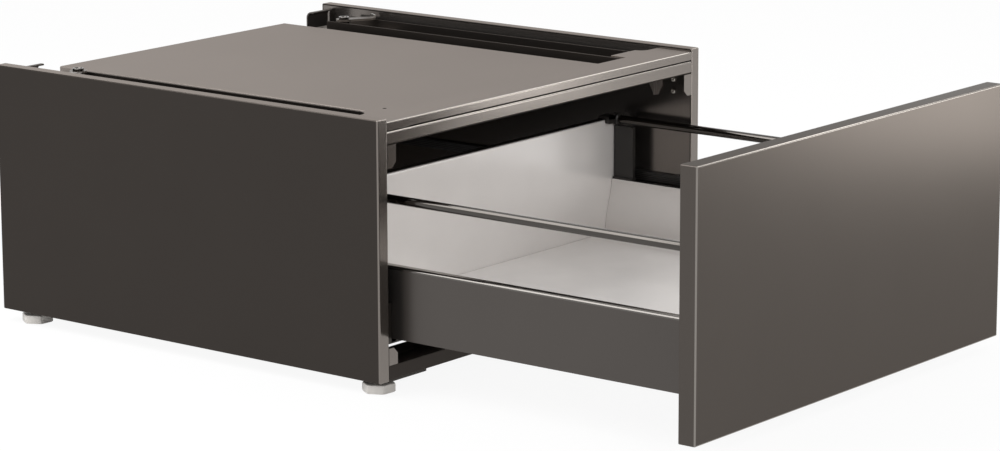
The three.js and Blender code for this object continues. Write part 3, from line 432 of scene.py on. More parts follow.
def lacquer(name, colour, metal, roughness, edge=1.0):
    """Flake and cloud noise added together drive the colour; the ripple is a slower noise. Edge
    is how much of the usual brightening at a grazing look is kept."""
    material, tree, shader, where = new_material(name)
    flake = noise(tree, where, FLAKES, 1.0)
    cloud = noise(tree, where, CLOUDS, 3.0)
    mixed = tree.nodes.new("ShaderNodeMath")
    mixed.operation = "MULTIPLY_ADD"
    mixed.inputs[1].default_value = FLAKE_SHARE
    tree.links.new(flake, mixed.inputs[0])
    tree.links.new(between(tree, cloud, 0.2, 0.35), mixed.inputs[2])
    base = np.array(linear(*colour))
    colours = two_tone(tree, mixed.outputs[0], base * 0.95, base * 1.05, 0.32, 0.68)
    tree.links.new(colours, shader.inputs["Base Color"])
    gloss = between(tree, cloud, roughness * 0.96, roughness * 1.04)
    tree.links.new(gloss, shader.inputs["Roughness"])
    shader.inputs["Metallic"].default_value = metal
    shader.inputs["Specular Tint"].default_value = (edge, edge * 0.97, edge * 0.94, 1)
    shader.inputs["Specular IOR Level"].default_value = 0.0
    rough(tree, shader, noise(tree, where, RIPPLES, 1.0), roughness * 0.06, FINE_DEPTH)
    return material


# %% [markdown]
# A photograph holds the light of its own studio, which isn't known. Under the lamps of this
# lesson one tone doesn't match it on every face, so the one lacquer is mixed in eight tones:
# lit and shaded copies of one paint, whose colours paint in part of that light. The cabinet's
# broad faces get the dark one, the drawer's front a lighter one, painted lit, and the drawer's
# sides, the front's top edge and the rear hooks another lit one. The gussets and the fronts of
# the side panels, upper crossbar and trim get a bright one, a painted sheen, and the bends on
# that bar, the trim and the drawer's front a brighter one still, a painted highlight. The tops of
# the drawer's sides get the smoothest, lighter than their sides, which draws a thin line that is
# partly a painted highlight. The deck, the tops of side panels and trim, and the stop tabs get one
# painted lighter as lit from above, which stays even at a flat look, and the liners and the sheet
# behind the drawer's front a smooth one painted lighter, a painted sheen.

# %% The lacquers
# Lit and shaded copies of one lacquer: their colours paint in light, sheen and highlights.
LACQUER = lacquer("lacquer_dark", (60, 56, 53), metal=0.85, roughness=0.30, edge=0.6)
LACQUER_FRONT_LIT = lacquer("lacquer_front_lit", (84, 79, 75), metal=0.85, roughness=0.30, edge=0.6)
LACQUER_SIDE_LIT = lacquer("lacquer_side_lit", (86, 82, 79), metal=0.85, roughness=0.30, edge=0.6)
LACQUER_PAINTED_SHEEN = lacquer("lacquer_painted_sheen", (126, 120, 115), metal=0.95, roughness=0.20)
LACQUER_PAINTED_HIGHLIGHT = lacquer("lacquer_painted_highlight", (136, 131, 126), metal=0.95, roughness=0.20)
LACQUER_CROWN_HIGHLIGHT = lacquer("lacquer_crown_highlight", (102, 99, 96), metal=0.95, roughness=0.12)
LACQUER_TOP_LIT = lacquer("lacquer_top_lit", (126, 119, 114), metal=0.4, roughness=0.4, edge=0.6)
LACQUER_INSIDE_SHEEN = lacquer("lacquer_inside_sheen", (114, 109, 105), metal=0.9, roughness=0.2, edge=0.7)
for tone in (LACQUER, LACQUER_FRONT_LIT, LACQUER_SIDE_LIT, LACQUER_PAINTED_SHEEN, LACQUER_PAINTED_HIGHLIGHT, LACQUER_CROWN_HIGHLIGHT,
             LACQUER_TOP_LIT, LACQUER_INSIDE_SHEEN):
    print("lacquer", tone.name)

# %% [markdown]
# ## Powder coat and plastics
# The drawer's walls and back have a pale satin powder coat inside. Powder melts into a pebbled
# skin, so its bump is coarser than the lacquer's. A share of metal in the shader gives the walls
# soft reflections, as the picture's walls have. The floor's coat has less of it, and is a shade
# lighter, painted light that stands for the floor being lit more than the walls. The plastics of
# the feet, sockets and clips have the same kind of skin, only duller.

# %% Powder coat and plastics
SLOW_CHANGE = 14
PEBBLE_DEPTH = 0.0002


def powder(name, colour, roughness, pebbles, strength, metal=0.0):
    """Pebbled skin: one noise for bump, a slow one for a slight change of tone and gloss."""
    material, tree, shader, where = new_material(name)
    base = np.array(linear(*colour))
    slow = noise(tree, where, SLOW_CHANGE, 2.0)
    tones = two_tone(tree, slow, base * 0.94, base * 1.05, 0.0, 1.0)
    tree.links.new(tones, shader.inputs["Base Color"])
    gloss = between(tree, slow, roughness * 0.87, roughness * 1.13, 0.0, 1.0)
    tree.links.new(gloss, shader.inputs["Roughness"])
    shader.inputs["Metallic"].default_value = metal
    rough(tree, shader, noise(tree, where, pebbles, 2.0), strength, PEBBLE_DEPTH)
    return material


PALE_COAT = powder("pale_coat", (226, 222, 219), 0.22, pebbles=900, strength=0.02, metal=0.22)
# The floor's coat is painted a shade lighter, as lit more than the walls.
PALE_FLOOR_LIT = powder("pale_floor_lit", (238, 234, 231), 0.24, pebbles=900, strength=0.02, metal=0.06)
DARK_PLASTIC = powder("dark_plastic", (34, 32, 30), 0.42, pebbles=1600, strength=0.15)
PALE_PLASTIC = powder("pale_plastic", (204, 200, 195), 0.42, pebbles=1300, strength=0.12)
print("coats", PALE_COAT.name, PALE_FLOOR_LIT.name, DARK_PLASTIC.name, PALE_PLASTIC.name)

# %% [markdown]
# ## Steel
# Bare steel differs from coated steel by its grain. Drawn bar and rolled strip carry fine lines
# along their length, which is noise drawn out along one axis until its blobs become streaks. A
# grain is three numbers: how much of the noise's scale is left on x, on y and on z.

# %% Steel
STREAKS = 900


def steel(name, colour, metal, roughness, grain):
    """Streaked noise, drawn out by the given scale on each axis, for tone, gloss and bump."""
    material, tree, shader, where = new_material(name)
    base = np.array(linear(*colour))
    streak = noise(tree, where, STREAKS, 3.0, grain)
    tree.links.new(two_tone(tree, streak, base * 0.85, base * 1.12), shader.inputs["Base Color"])
    gloss = between(tree, streak, roughness * 0.8, roughness * 1.2)
    tree.links.new(gloss, shader.inputs["Roughness"])
    shader.inputs["Metallic"].default_value = metal
    rough(tree, shader, streak, 0.03, FINE_DEPTH)
    return material


ALONG_Y, ALONG_XY = (1.0, 0.03, 1.0), (0.2, 0.2, 1.0)
DARK_STEEL = steel("dark_steel", (58, 54, 50), 0.8, 0.32, ALONG_Y)
RAIL_STEEL = steel("rail_steel", (80, 77, 74), 1.0, 0.12, (1.0, 0.02, 1.0))
BRIGHT_STEEL = steel("bright_steel", (190, 186, 180), 1.0, 0.24, ALONG_XY)
WORN_STEEL = steel("worn_steel", (104, 97, 91), 0.9, 0.34, ALONG_XY)
LATCH_STEEL = steel("latch_steel", (150, 143, 136), 0.9, 0.34, ALONG_XY)
for bar_steel in (DARK_STEEL, RAIL_STEEL, BRIGHT_STEEL, WORN_STEEL, LATCH_STEEL):
    print("steel", bar_steel.name)

# %% [markdown]
# ## Putting a piece in the scene
# A finished piece is one mesh whose object stays at the origin. It is shaded smooth, with edges
# sharper than 32 degrees left crisp, and small cut edges are softened by a bevel. It then rides
# on the body that carries it, and stands for the plain node that it replaces. Some pieces carry
# a second or third finish, given with a rule that picks faces by where their middles lie.

# %% Making a piece
CRISP_FROM, SOFTEN_FROM = np.radians(32), np.radians(40)


def make(name, skins, material, body, nodes, bevel=0.0, others=()):
    """One mesh from several closed skins: their points are stacked and their faces renumbered.
    Others are pairs of a finish and a rule on the x, y and z of the faces' middles in
    millimetres; where two rules pick a face, the later one has it."""
    points = np.concatenate([skin[0] for skin in skins])
    starts = np.cumsum([0] + [len(skin[0]) for skin in skins[:-1]])
    faces = [[i + int(s) for i in face] for s, skin in zip(starts, skins) for face in skin[1]]
    mesh = bpy.data.meshes.new(name)
    mesh.from_pydata(points.tolist(), [], faces)
    mesh.materials.append(material)
    middles = np.array([points[face].mean(axis=0) for face in faces]).T / MM
    index = np.zeros(len(faces), np.int32)
    for number, (finish, rule) in enumerate(others, 1):
        mesh.materials.append(finish)
        index[rule(*middles)] = number
    mesh.polygons.foreach_set("material_index", index)
    mesh.shade_smooth()
    mesh.set_sharp_from_angle(angle=CRISP_FROM)
    piece = bpy.data.objects.new(name, mesh)
    bpy.context.scene.collection.objects.link(piece)
    if bevel:
        soft = piece.modifiers.new("soft_edges", "BEVEL")
        soft.width = bevel * MM
        soft.segments = 2
        soft.limit_method = "ANGLE"
        soft.angle_limit = SOFTEN_FROM
        soft.harden_normals = True
    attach(piece, body)
    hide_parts(*nodes)
    print(name, len(points), "points")


def make_pair(name, skins, material, bodies, bevel=0.0, others=()):
    """The right-hand piece as drawn, and its left-hand twin."""
    right, left = bodies if isinstance(bodies, tuple) else (bodies, bodies)
    twins = [mirrored(skin) for skin in skins]
    make(f"{name}_right_form", skins, material, right, [f"{name}_right"], bevel, others)
    make(f"{name}_left_form", twins, material, left, [f"{name}_left"], bevel, others)


def edges(node):
    """A node's box in millimetres: lowest x, y, z and highest x, y, z."""
    low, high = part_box(node)
    return np.array(low) / MM, np.array(high) / MM


# %% [markdown]
# ## Side panels
# Each side is a pan a little over 15 mm thick with its open side towards the drawer, closed by a
# flat liner that keeps its measured shape. The fold's radius, with the bright tone painted on the
# front flange and the fold beside it as a painted highlight, draws the thin pale line down the
# front corner; the top edge has a tone painted lighter as lit from above. A box with a bevel would
# show that line too, but it would be solid, and the pan has its real rim where the liner leaves it
# open.

# %% Side panels
CABINET_SHEET = 1.5
low, high = edges("side_panel_right")
front_line, top_line = low[1] + 1.95, high[2] - 0.2
# Painted highlight on the front flange and its fold, and the top edge painted lighter as lit from
# above.
panel_rules = [(LACQUER_PAINTED_SHEEN, lambda x, y, z: y < front_line),
               (LACQUER_TOP_LIT, lambda x, y, z: z > top_line)]
for side, outer in (("left", False), ("right", True)):
    low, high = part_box(f"side_panel_{side}")
    skin = pan(low, high, "X", outer, sheet=CABINET_SHEET, fold=1.9, corner=1.6)
    make(f"side_panel_{side}_form", [skin], LACQUER, "cabinet", [f"side_panel_{side}"],
         others=panel_rules)

# %% [markdown]
# ## Drawer front
# The front is a pan as well, of thinner sheet, with its open side to the rear. Its face takes a
# lighter tone of the lacquer, painted light. Its folds get a brighter tone of their own, a painted
# highlight for the bright line that frames the face, and the top edge a tone painted lighter as lit
# from above. The rules below pick the folds by their depth behind the face, and the top edge by its
# height.

# %% Drawer front
DRAWER_SHEET, FRONT_FOLD = 1.2, 1.5
HAIR = 0.01
low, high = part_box("drawer_front")
face_y, lid_z = low[1] / MM, high[2] / MM
# Painted highlight on the folds, and the top edge painted lighter as lit from above.
front_rules = [(LACQUER_PAINTED_HIGHLIGHT, lambda x, y, z: (y > face_y + HAIR) & (y < face_y + FRONT_FOLD)),
               (LACQUER_SIDE_LIT, lambda x, y, z: z > lid_z - 0.1)]
skin = pan(low, high, "Y", False, sheet=DRAWER_SHEET, fold=FRONT_FOLD, corner=1.4)
make("drawer_front_form", [skin], LACQUER_FRONT_LIT, "drawer", ["drawer_front"],
     others=front_rules)

# %% [markdown]
# ## Deck
# The deck is a shallow pan between the two guide channels. The machine never touches it: its
# feet stand in the channels. A flat plane would look the same from above, but its folded edges
# show beside the channels and at the rear, so it is a pan too.

# %% Deck
low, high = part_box("deck_plate")
skin = pan(low, high, "Z", True, sheet=CABINET_SHEET, fold=1.6, corner=1.6)
# The deck takes the tone painted lighter as lit from above.
make("deck_form", [skin], LACQUER_TOP_LIT, "cabinet", ["deck_plate"])

# %% [markdown]
# ## Crossbar and trim
# Under the deck's front edge a folded crossbar ties the two sides together, and a thin folded
# strip caps it. Both have a bright tone on their fronts, a painted sheen. The two folds lie a few
# millimetres apart and give the pair of bright lines across the front, with a dark gap between
# them; the lines are partly a painted highlight, a brighter tone on the folds. The crossbar's lower
# fold keeps the dark tone, without the painted sheen.

# %% Upper crossbar and front trim
low, high = edges("top_crossbar")
front, back, base, top = low[1], high[1], low[2], high[2]
SMALL_FOLD, BAR_FOLD = 1.6, 2.5
path = folded([(back, base + 10.2), (back, top), (front, top), (front, base), (front + 9, base)],
              [SMALL_FOLD, BAR_FOLD, SMALL_FOLD])
bar = bent_sheet(path, CABINET_SHEET, "X", low[0], high[0])
bar_front, bar_top, bar_base = front, top, base
# Painted highlight on the top fold; the lower fold keeps the dark tone, without the painted sheen.
bar_rules = [
    (LACQUER_PAINTED_HIGHLIGHT, lambda x, y, z: (y > bar_front + HAIR) & (y < bar_front + BAR_FOLD)
                                   & (z > bar_top - BAR_FOLD)),
    (LACQUER, lambda x, y, z: (y > bar_front + HAIR) & (z < bar_base + SMALL_FOLD))]
make("top_crossbar_form", [bar], LACQUER_PAINTED_SHEEN, "cabinet", ["top_crossbar"],
     bevel=0.3, others=bar_rules)

low, high = edges("front_trim")
trim_top, trim_base, wide = high[2], high[2] - 9.4, high[0]
front, fold_end = low[1], low[1] + 10
path = folded([(fold_end, trim_top), (front, trim_top), (front, trim_base)], SMALL_FOLD)
strip = bent_sheet(path, CABINET_SHEET, "X", -wide, wide)
print("trim", round(wide, 1), "mm half width, front at", round(front, 2))

# %% [markdown]
# Behind the fold the strip runs back 40 mm, and 62 mm where a tab covers the end of each guide
# channel. The tab's outer corner is cut away in a quarter circle, and the left tab has one small
# screw hole in it. This part is flat, so an outline with a thickness is all that it needs.

# %% Trim's flat part
HALF_WIDTH = 297.5
strip_back, shoulder, tab_back, cut = front + 40, front + 50, front + 62, 12
tab_in, tab_out = HALF_WIDTH - 93, HALF_WIDTH - 45
sweep = np.linspace(3 * np.pi / 2, np.pi, 7)
ear = np.stack([tab_out + cut + cut * np.cos(sweep), tab_back + cut * np.sin(sweep)], axis=1)
right_edge = np.concatenate([[(wide, fold_end), (wide, shoulder)], ear,
                             [(tab_in, tab_back), (tab_in, strip_back)]])
left_edge = right_edge[::-1] * [-1, 1]
hole = circle(76 - HALF_WIDTH, front + 54, 2.25, 24)
under = trim_top - CABINET_SHEET
flat = plate(np.concatenate([right_edge, left_edge]), "Z", under, trim_top, [hole])
lip_outline = rounded_rectangle(-196.5, 196.5, front + 38.5, strip_back, 0.5)
lip = plate(lip_outline, "Z", low[2], under)
# Painted highlight on the fold, and the top face painted lighter as lit from above.
trim_rules = [(LACQUER_PAINTED_HIGHLIGHT, lambda x, y, z: (y > front + HAIR) & (y < front + SMALL_FOLD)),
              (LACQUER_TOP_LIT, lambda x, y, z: z > trim_top - 2 * HAIR)]
make("front_trim_form", [strip, flat, lip], LACQUER_PAINTED_SHEEN, "cabinet", ["front_trim"],
     bevel=0.25, others=trim_rules)

# %% [markdown]
# ## Guide channels
# A channel runs along each side of the deck. Its two upstands keep the machine's feet in line.
# The section is drawn once in x and z and carried back. Its folds are small and in the dark, so
# a small bevel rounds them, which takes fewer points than drawing each arc.

# %% Guide channels
low, high = edges("guide_channel_right")
wall, foot_line, top = high[0], low[0], high[2]
floor_line = top - 13.5
outer, inner = HALF_WIDTH - 26, HALF_WIDTH - 71
under, wall_in = floor_line - CABINET_SHEET, wall - CABINET_SHEET
outer_out, inner_in = outer + CABINET_SHEET, inner - CABINET_SHEET
section = [(foot_line, under), (wall_in, under), (wall_in, low[2]), (wall, low[2]),
           (wall, floor_line), (outer_out, floor_line), (outer_out, top), (outer, top),
           (outer, floor_line), (inner, floor_line), (inner, top), (inner_in, top),
           (inner_in, floor_line), (foot_line, floor_line)]
channel = plate(section, "Y", low[1], high[1])
make_pair("guide_channel", [channel], LACQUER, "cabinet", bevel=0.45)

# %% [markdown]
# ## Lower crossbar and gussets
# The lower crossbar is a wide stepped channel, open upwards, and a bent sheet like the upper one.
# Between it and the runners sit two chamfered gussets, with two more under the upper crossbar.
# Gussets are flat plates that the measured model already has right, so they stay as measured.

# %% Lower crossbar
low, high = edges("bottom_crossbar")
y0, y1, z0, z1 = low[1], high[1], low[2], high[2]
middle, step = (y0 + y1) / 2, z0 + 4
path = folded([(y0, z1), (y0, z0), (middle, z0), (middle, step), (y1, step), (y1, z1)],
              [2.0, SMALL_FOLD, SMALL_FOLD, 2.0])
bar = bent_sheet(path, CABINET_SHEET, "X", low[0], high[0])
make("bottom_crossbar_form", [bar], LACQUER, "cabinet", ["bottom_crossbar"],
     bevel=0.25)

# %% [markdown]
# ## Drawer sides
# The drawer's sides are double. Outside is a flat wall, and inside the wall swells towards the
# floor, which makes the drawer look moulded. The swell follows a power of a sine: it leaves the
# top edge upright, bows in, and meets the floor upright again. Outside the side has a lighter tone
# of the lacquer, painted lit, and on top a lighter and smoother one, and inside it has the pale
# coat, so one mesh carries all three. The fold on top is wide enough to catch the light along its
# whole length; its lighter tone makes that line partly a painted highlight.

# %% Drawer sides
low, high = edges("drawer_side_right")
out, top, bottom = high[0], high[2], low[2]
top_in, low_in, pale_from = out - 12, out - 24, out - 11
swell_top, swell_end, shelf = top - 2, 81.8, 63.5
crown_fold, inner_fold, shelf_fold = 3.4, 1.9, 1.8
t = np.linspace(0, 1, 25)
swell = np.stack([top_in + (low_in - top_in) * np.sin(t * np.pi / 2) ** 1.6,
                  swell_top - (swell_top - swell_end) * t], axis=1)
crown = folded([(out, bottom), (out, top), (top_in, top), (top_in, top - 3)],
               [crown_fold, inner_fold])
foot = folded([(low_in, swell_end - 1), (low_in, shelf), (low_in - 10, shelf)], shelf_fold)
path = np.concatenate([crown[:-1], swell[1:], foot])
wall = bent_sheet(path, DRAWER_SHEET, "Y", low[1], high[1])
# Pale coat inside; the crown's lighter tone is a painted highlight.
side_rules = [
    (PALE_COAT, lambda x, y, z: np.abs(x) < pale_from),
    (LACQUER_CROWN_HIGHLIGHT, lambda x, y, z: (z > top - crown_fold) & (np.abs(x) > pale_from))]
make_pair("drawer_side", [wall], LACQUER_SIDE_LIT, "drawer", 0.2, side_rules)

# %% [markdown]
# ## Drawer back and floor
# Both are pale. The back's top and bottom edges turn over to the rear and are lacquered there,
# and its lower corners are cut away for the runners. A bent sheet has the same section all
# along, so the back is drawn as one tall length with a shorter one at either end.

# %% Drawer back and floor
low, high = edges("drawer_back")
y0, y1, z0, z1 = low[1], high[1], low[2], high[2]
notch_z, notch_x, back_fold = 103.5, 249.3, 1.8
tall = folded([(y1, z1), (y0, z1), (y0, z0), (y1, z0)], back_fold)
short = folded([(y1, z1), (y0, z1), (y0, notch_z)], back_fold)
skins = [bent_sheet(tall, DRAWER_SHEET, "X", -notch_x, notch_x),
         bent_sheet(short, DRAWER_SHEET, "X", notch_x, high[0]),
         bent_sheet(short, DRAWER_SHEET, "X", low[0], -notch_x)]
make("drawer_back_form", skins, PALE_COAT, "drawer", ["drawer_back"],
     others=[(LACQUER, lambda x, y, z: y > y0 + 1.7)])

low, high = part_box("drawer_floor")
skin = pan(low, high, "Z", True, sheet=DRAWER_SHEET, fold=1.4, corner=1.4)
# The floor's coat is painted a shade lighter, as lit more than the walls.
make("drawer_floor_form", [skin], PALE_FLOOR_LIT, "drawer", ["drawer_floor"])

# %% [markdown]
# ## Gallery rails
# A round bar runs over each side, from a socket on the front to a clip on the back. A curve with
# a round bevel would draw it too, but a lathe shape along Y also gives it its rounded ends.

# %% Rails and sockets
low, high = edges("gallery_rail_right")
axis_x, axis_z = (low[0] + high[0]) / 2, (low[2] + high[2]) / 2
rail_radius, rail_edge = 5, 0.8
bar = turned(rounded_bar(rail_radius, low[1], high[1], rail_edge), (axis_x, axis_z, 0), "Y", 48)
make_pair("gallery_rail", [bar], RAIL_STEEL, "drawer")

low, high = edges("front_socket_right")
near, far = low[1], high[1]
cup = [(7.2, near), (8, near + 0.8), (8, far - 1.2), (7.4, far - 0.3), (6.6, far), (5.6, far),
       (5.3, far - 0.4), (5.3, near + 2.4)]
socket = turned(cup, (axis_x, axis_z, 0), "Y", 40)
make_pair("front_socket", [socket], DARK_PLASTIC, "drawer")

# %% [markdown]
# ## Levelling feet
# Each foot is a hexagonal pad with a hexagonal neck and a threaded stud. A hexagon is a radius
# that depends on the angle. Where a cone cuts its corners off, as on any nut, the radius is the
# smaller of the two.

# %% Feet
def hexagon(to_corner, heights, cone, turn_by, centre, sides=72):
    """Radius at angle t: the hexagon's apothem over cos of the angle to the nearest flat's
    middle, or the cone's radius at that height where that is smaller."""
    t = np.linspace(0, 2 * np.pi, sides, endpoint=False)
    off_flat = np.mod(t, np.pi / 3) - np.pi / 6
    radius = to_corner * np.cos(np.pi / 6) / np.cos(off_flat)
    r = np.minimum(radius[None], np.asarray(cone)[:, None])
    angle = t[None] + np.radians(turn_by)
    z = np.broadcast_to(np.asarray(heights)[:, None], r.shape)
    rings = placed(centre[0] + r * np.cos(angle), centre[1] + r * np.sin(angle), z, "Z")
    return loft(rings * MM)


def threaded(radius, depth, pitch, start, end, centre, sides=24, rings_a_turn=6):
    """Stud with a screw thread: the radius falls and rises by depth once in every pitch, and the
    pattern climbs one pitch for each turn, because the phase is height less angle."""
    z = np.linspace(start, end, int((end - start) / pitch * rings_a_turn))[:, None]
    t = np.linspace(0, 2 * np.pi, sides, endpoint=False)[None]
    wave = np.abs(np.mod(z / pitch - t / (2 * np.pi), 1) * 2 - 1)
    r = radius - depth * wave
    rings = placed(centre[0] + r * np.cos(t), centre[1] + r * np.sin(t), z, "Z")
    return loft(rings * MM)


PAD_TOP, NECK_TOP, STUD_TOP = 10, 13, 44
PAD_HEIGHTS, PAD_CONE = [0, 0.8, 8.4, 9.4, PAD_TOP], [17.6, 18.9, 18.9, 17.9, 15.6]
NECK_HEIGHTS, NECK_CONE = [PAD_TOP, 10.3, 12.8, NECK_TOP], [7.8, 8, 8, 7.6]
for foot, body in (("foot_front_left", "foot_fl"), ("foot_front_right", "foot_fr"),
                   ("foot_rear_left", "foot_rl"), ("foot_rear_right", "foot_rr")):
    low, high = edges(foot)
    centre = ((low[0] + high[0]) / 2, (low[1] + high[1]) / 2)
    pad = hexagon(18.8, PAD_HEIGHTS, PAD_CONE, -3, centre)
    neck = hexagon(8, NECK_HEIGHTS, NECK_CONE, 0, centre)
    stud = threaded(4, 0.5, 1.25, NECK_TOP, STUD_TOP, centre)
    make(f"{foot}_form", [pad, neck, stud], PALE_PLASTIC, body, [foot])

# %% [markdown]
# ## Hold-down latches
# At the rear end of each channel an arm swings on an upright bolt. The bolt's head is a ring
# with a dish in it, and the arm is a strip with a round hub: its outline is the larger of a
# circle and a rectangle, measured from the bolt.

# %% Latch bolts
low, high = edges("latch_bolt_right")
bolt = ((low[0] + high[0]) / 2, (low[1] + high[1]) / 2)
z0, z1 = low[2], high[2]
profile = [(3.6, z0), (4, z0 + 0.4), (4, z0 + 2.3), (6.4, z0 + 2.3), (6.8, z0 + 2.7),
           (6.8, z1 - 6.3), (6.4, z1 - 5.9), (4, z1 - 5.7), (4, z1 - 2.6), (6.3, z1 - 2.6),
           (6.8, z1 - 2.1), (6.8, z1 - 0.5), (6.3, z1), (5.0, z1), (4.5, z1 - 0.4),
           (3.8, z1 - 1.4), (1.6, z1 - 1.5), (1.2, z1 - 0.9), (0.6, z1 - 0.6), (0.1, z1 - 0.5)]
head = turned(profile, (*bolt, 0), "Z", 40)
dish_radius, dish_floor = 3.9, z1 - 2
bolt_rules = [(BRIGHT_STEEL, lambda x, y, z:
               (np.hypot(np.abs(x) - bolt[0], y - bolt[1]) < dish_radius) & (z > dish_floor))]
make_pair("latch_bolt", [head], RAIL_STEEL, "cabinet", others=bolt_rules)

# %% Latch arms
HUB, STRIP_HALF, ARM_LENGTH = 10, 7.5, 40
ARM_SHEET, GRIP_HEIGHT, NEARLY_NONE = 2.5, 6.5, 1e-6
low, high = edges("latch_arm_right")
arm_z, lean = low[2], np.radians(-32)
t = np.linspace(-np.pi, np.pi, 120, endpoint=False)
to_side = STRIP_HALF / np.maximum(np.abs(np.sin(t)), NEARLY_NONE)
to_end = np.where(np.cos(t) > 0, ARM_LENGTH / np.maximum(np.cos(t), NEARLY_NONE), 0)
reach = np.maximum(HUB, np.minimum(to_side, to_end))
outline = np.stack([reach * np.cos(t + lean), reach * np.sin(t + lean)], axis=1) + bolt
arm = plate(outline, "Z", arm_z, arm_z + ARM_SHEET, [circle(*bolt, 4.3)])
grip_in = ARM_LENGTH - ARM_SHEET
grip_flat = np.array([(grip_in, -STRIP_HALF), (ARM_LENGTH, -STRIP_HALF),
                      (ARM_LENGTH, STRIP_HALF), (grip_in, STRIP_HALF)])
spin = np.array([[np.cos(lean), np.sin(lean)], [-np.sin(lean), np.cos(lean)]])
grip = plate(grip_flat @ spin + bolt, "Z", arm_z + ARM_SHEET, arm_z + GRIP_HEIGHT)
make_pair("latch_arm", [arm, grip], WORN_STEEL, ("latch_right", "latch_left"),
          bevel=0.3, others=[(BRIGHT_STEEL, lambda x, y, z: z > arm_z + 2.6)])

# %% [markdown]
# ## Rear hooks
# Behind each channel stands a bent plate whose top rolls forward in a wide curve. It is one more
# bent sheet, with more steps in its arc, because the curve is wide enough for each to show.

# %% Rear hooks
HOOK_SHEET, HOOK_ROLL = 2, 8
low, high = edges("rear_hook_right")
path = folded([(high[1], low[2]), (high[1], high[2]), (low[1], high[2])], HOOK_ROLL, steps=13)
hook = bent_sheet(path, HOOK_SHEET, "X", low[0], high[0])
# The hooks take the drawer sides' lighter tone, painted light.
make_pair("rear_hook", [hook], LACQUER_SIDE_LIT, "cabinet", bevel=0.4)

# %% [markdown]
# ## Stop tabs, screws and rail clips
# The tab is a pressed strip that narrows downwards and has a rib along its middle. The screws
# have a low domed head with a round recess. The clip is a grooved collar on the rail's end, with
# a short rounded arm that reaches over the drawer's back.

# %% Stop tabs and screws
low, high = edges("stop_tab_right")
middle, face = (low[1] + high[1]) / 2, high[0]
half = np.array([3.0, 9.05, 9.05])[:, None]
z = np.array([low[2], low[2] + 11.5, high[2]])[:, None]
rib = np.broadcast_to([-1.5, -1.0, 1.0, 1.5], (3, 4))
across = np.concatenate([-half, rib, half, half, -half], axis=1)
depth = face - np.array([[2.0, 2.2, 6.0, 6.0, 2.2, 2.0, 0.0, 0.0]])
tab = loft(placed(middle + across, z, depth, "X") * MM)
# The stop tabs take the tone painted lighter as lit from above.
make_pair("stop_tab", [tab], LACQUER_TOP_LIT, "cabinet", 0.3)

for name in ("screw_1", "screw_2"):
    low, high = edges(f"{name}_right")
    centre = ((low[1] + high[1]) / 2, (low[2] + high[2]) / 2, low[0])
    profile = [(0.1, 1.2), (1.5, 1.2), (1.6, 0.15), (1.8, 0.0), (2.5, 0.1), (3.05, 0.5),
               (3.35, 1.1), (3.4, 1.8), (1.6, 2.0), (1.6, high[0] - low[0])]
    make_pair(name, [turned(profile, centre, "X", 32)], BRIGHT_STEEL, "cabinet")

# %% Rail clips
low, high = edges("rear_clip_right")
start, end = low[1], low[1] + 8.3
collar = [(6.6, start), (7.6, start + 0.9), (7.6, start + 2.8), (6.9, start + 3.3),
          (6.9, start + 4.6), (7.6, start + 5.1), (7.6, end - 1.0), (6.8, end)]
ring = turned(collar, (axis_x, axis_z, 0), "Y", 40)
nub_low, arm_low, arm_high, arm_start = 210.0, 215.0, 219.0, high[1] - 16
arm_outline = rounded_rectangle(low[0], axis_x, arm_low, arm_high, 1.8)
nub_outline = rounded_rectangle(low[0], axis_x, nub_low, arm_high, 2.4)
arm = plate(arm_outline, "Y", arm_start, high[1])
nub = plate(nub_outline, "Y", arm_start, high[1] - 10.4)
make_pair("rear_clip", [ring, arm, nub], DARK_PLASTIC, "drawer", bevel=0.3)

# %% [markdown]
# ## Finishing the measured nodes
# Every node that is still shown keeps its measured mesh and gets the finish of its slot, apart
# from a few kinds with a tone of their own: the liners, the sheet behind the drawer's front and
# the gussets get lighter lacquer tones, painted light, and the latch plate a lighter steel.

# %% Finishes by slot
FINISH = {"lacquer": LACQUER, "lacquer_light": LACQUER_PAINTED_SHEEN, "dark_steel": DARK_STEEL,
          "rail_steel": RAIL_STEEL, "bright_steel": BRIGHT_STEEL, "pale_coat": PALE_COAT,
          "dark_plastic": DARK_PLASTIC, "pale_plastic": PALE_PLASTIC}
# Liners and backing painted lighter, a painted sheen; gussets in the bright tone, a painted sheen.
OWN_FINISH = {"side_liner": LACQUER_INSIDE_SHEEN, "front_backing": LACQUER_INSIDE_SHEEN,
              "top_gusset": LACQUER_PAINTED_SHEEN, "bottom_gusset": LACQUER_PAINTED_SHEEN, "latch_plate": LATCH_STEEL}
for entry in frame["record"]["subparts"]:
    node = frame["nodes"][entry["node"]]
    kind = entry["node"].removesuffix("_left").removesuffix("_right")
    finish = OWN_FINISH.get(kind, FINISH[entry["material_slot"]])
    node.data.materials.clear()
    node.data.materials.append(finish)
print(len(frame["nodes"]), "nodes finished")

# %% [markdown]
# ## Studio
# The floor is pale and plain. To the camera and to anything glossy it is nearly white, as a lit
# paper sweep is, yet it still receives light, so the object's soft shadow stays on it.

# %% Floor
GLOW_SHARE, HALF_SPAN = 0.92, 9.0


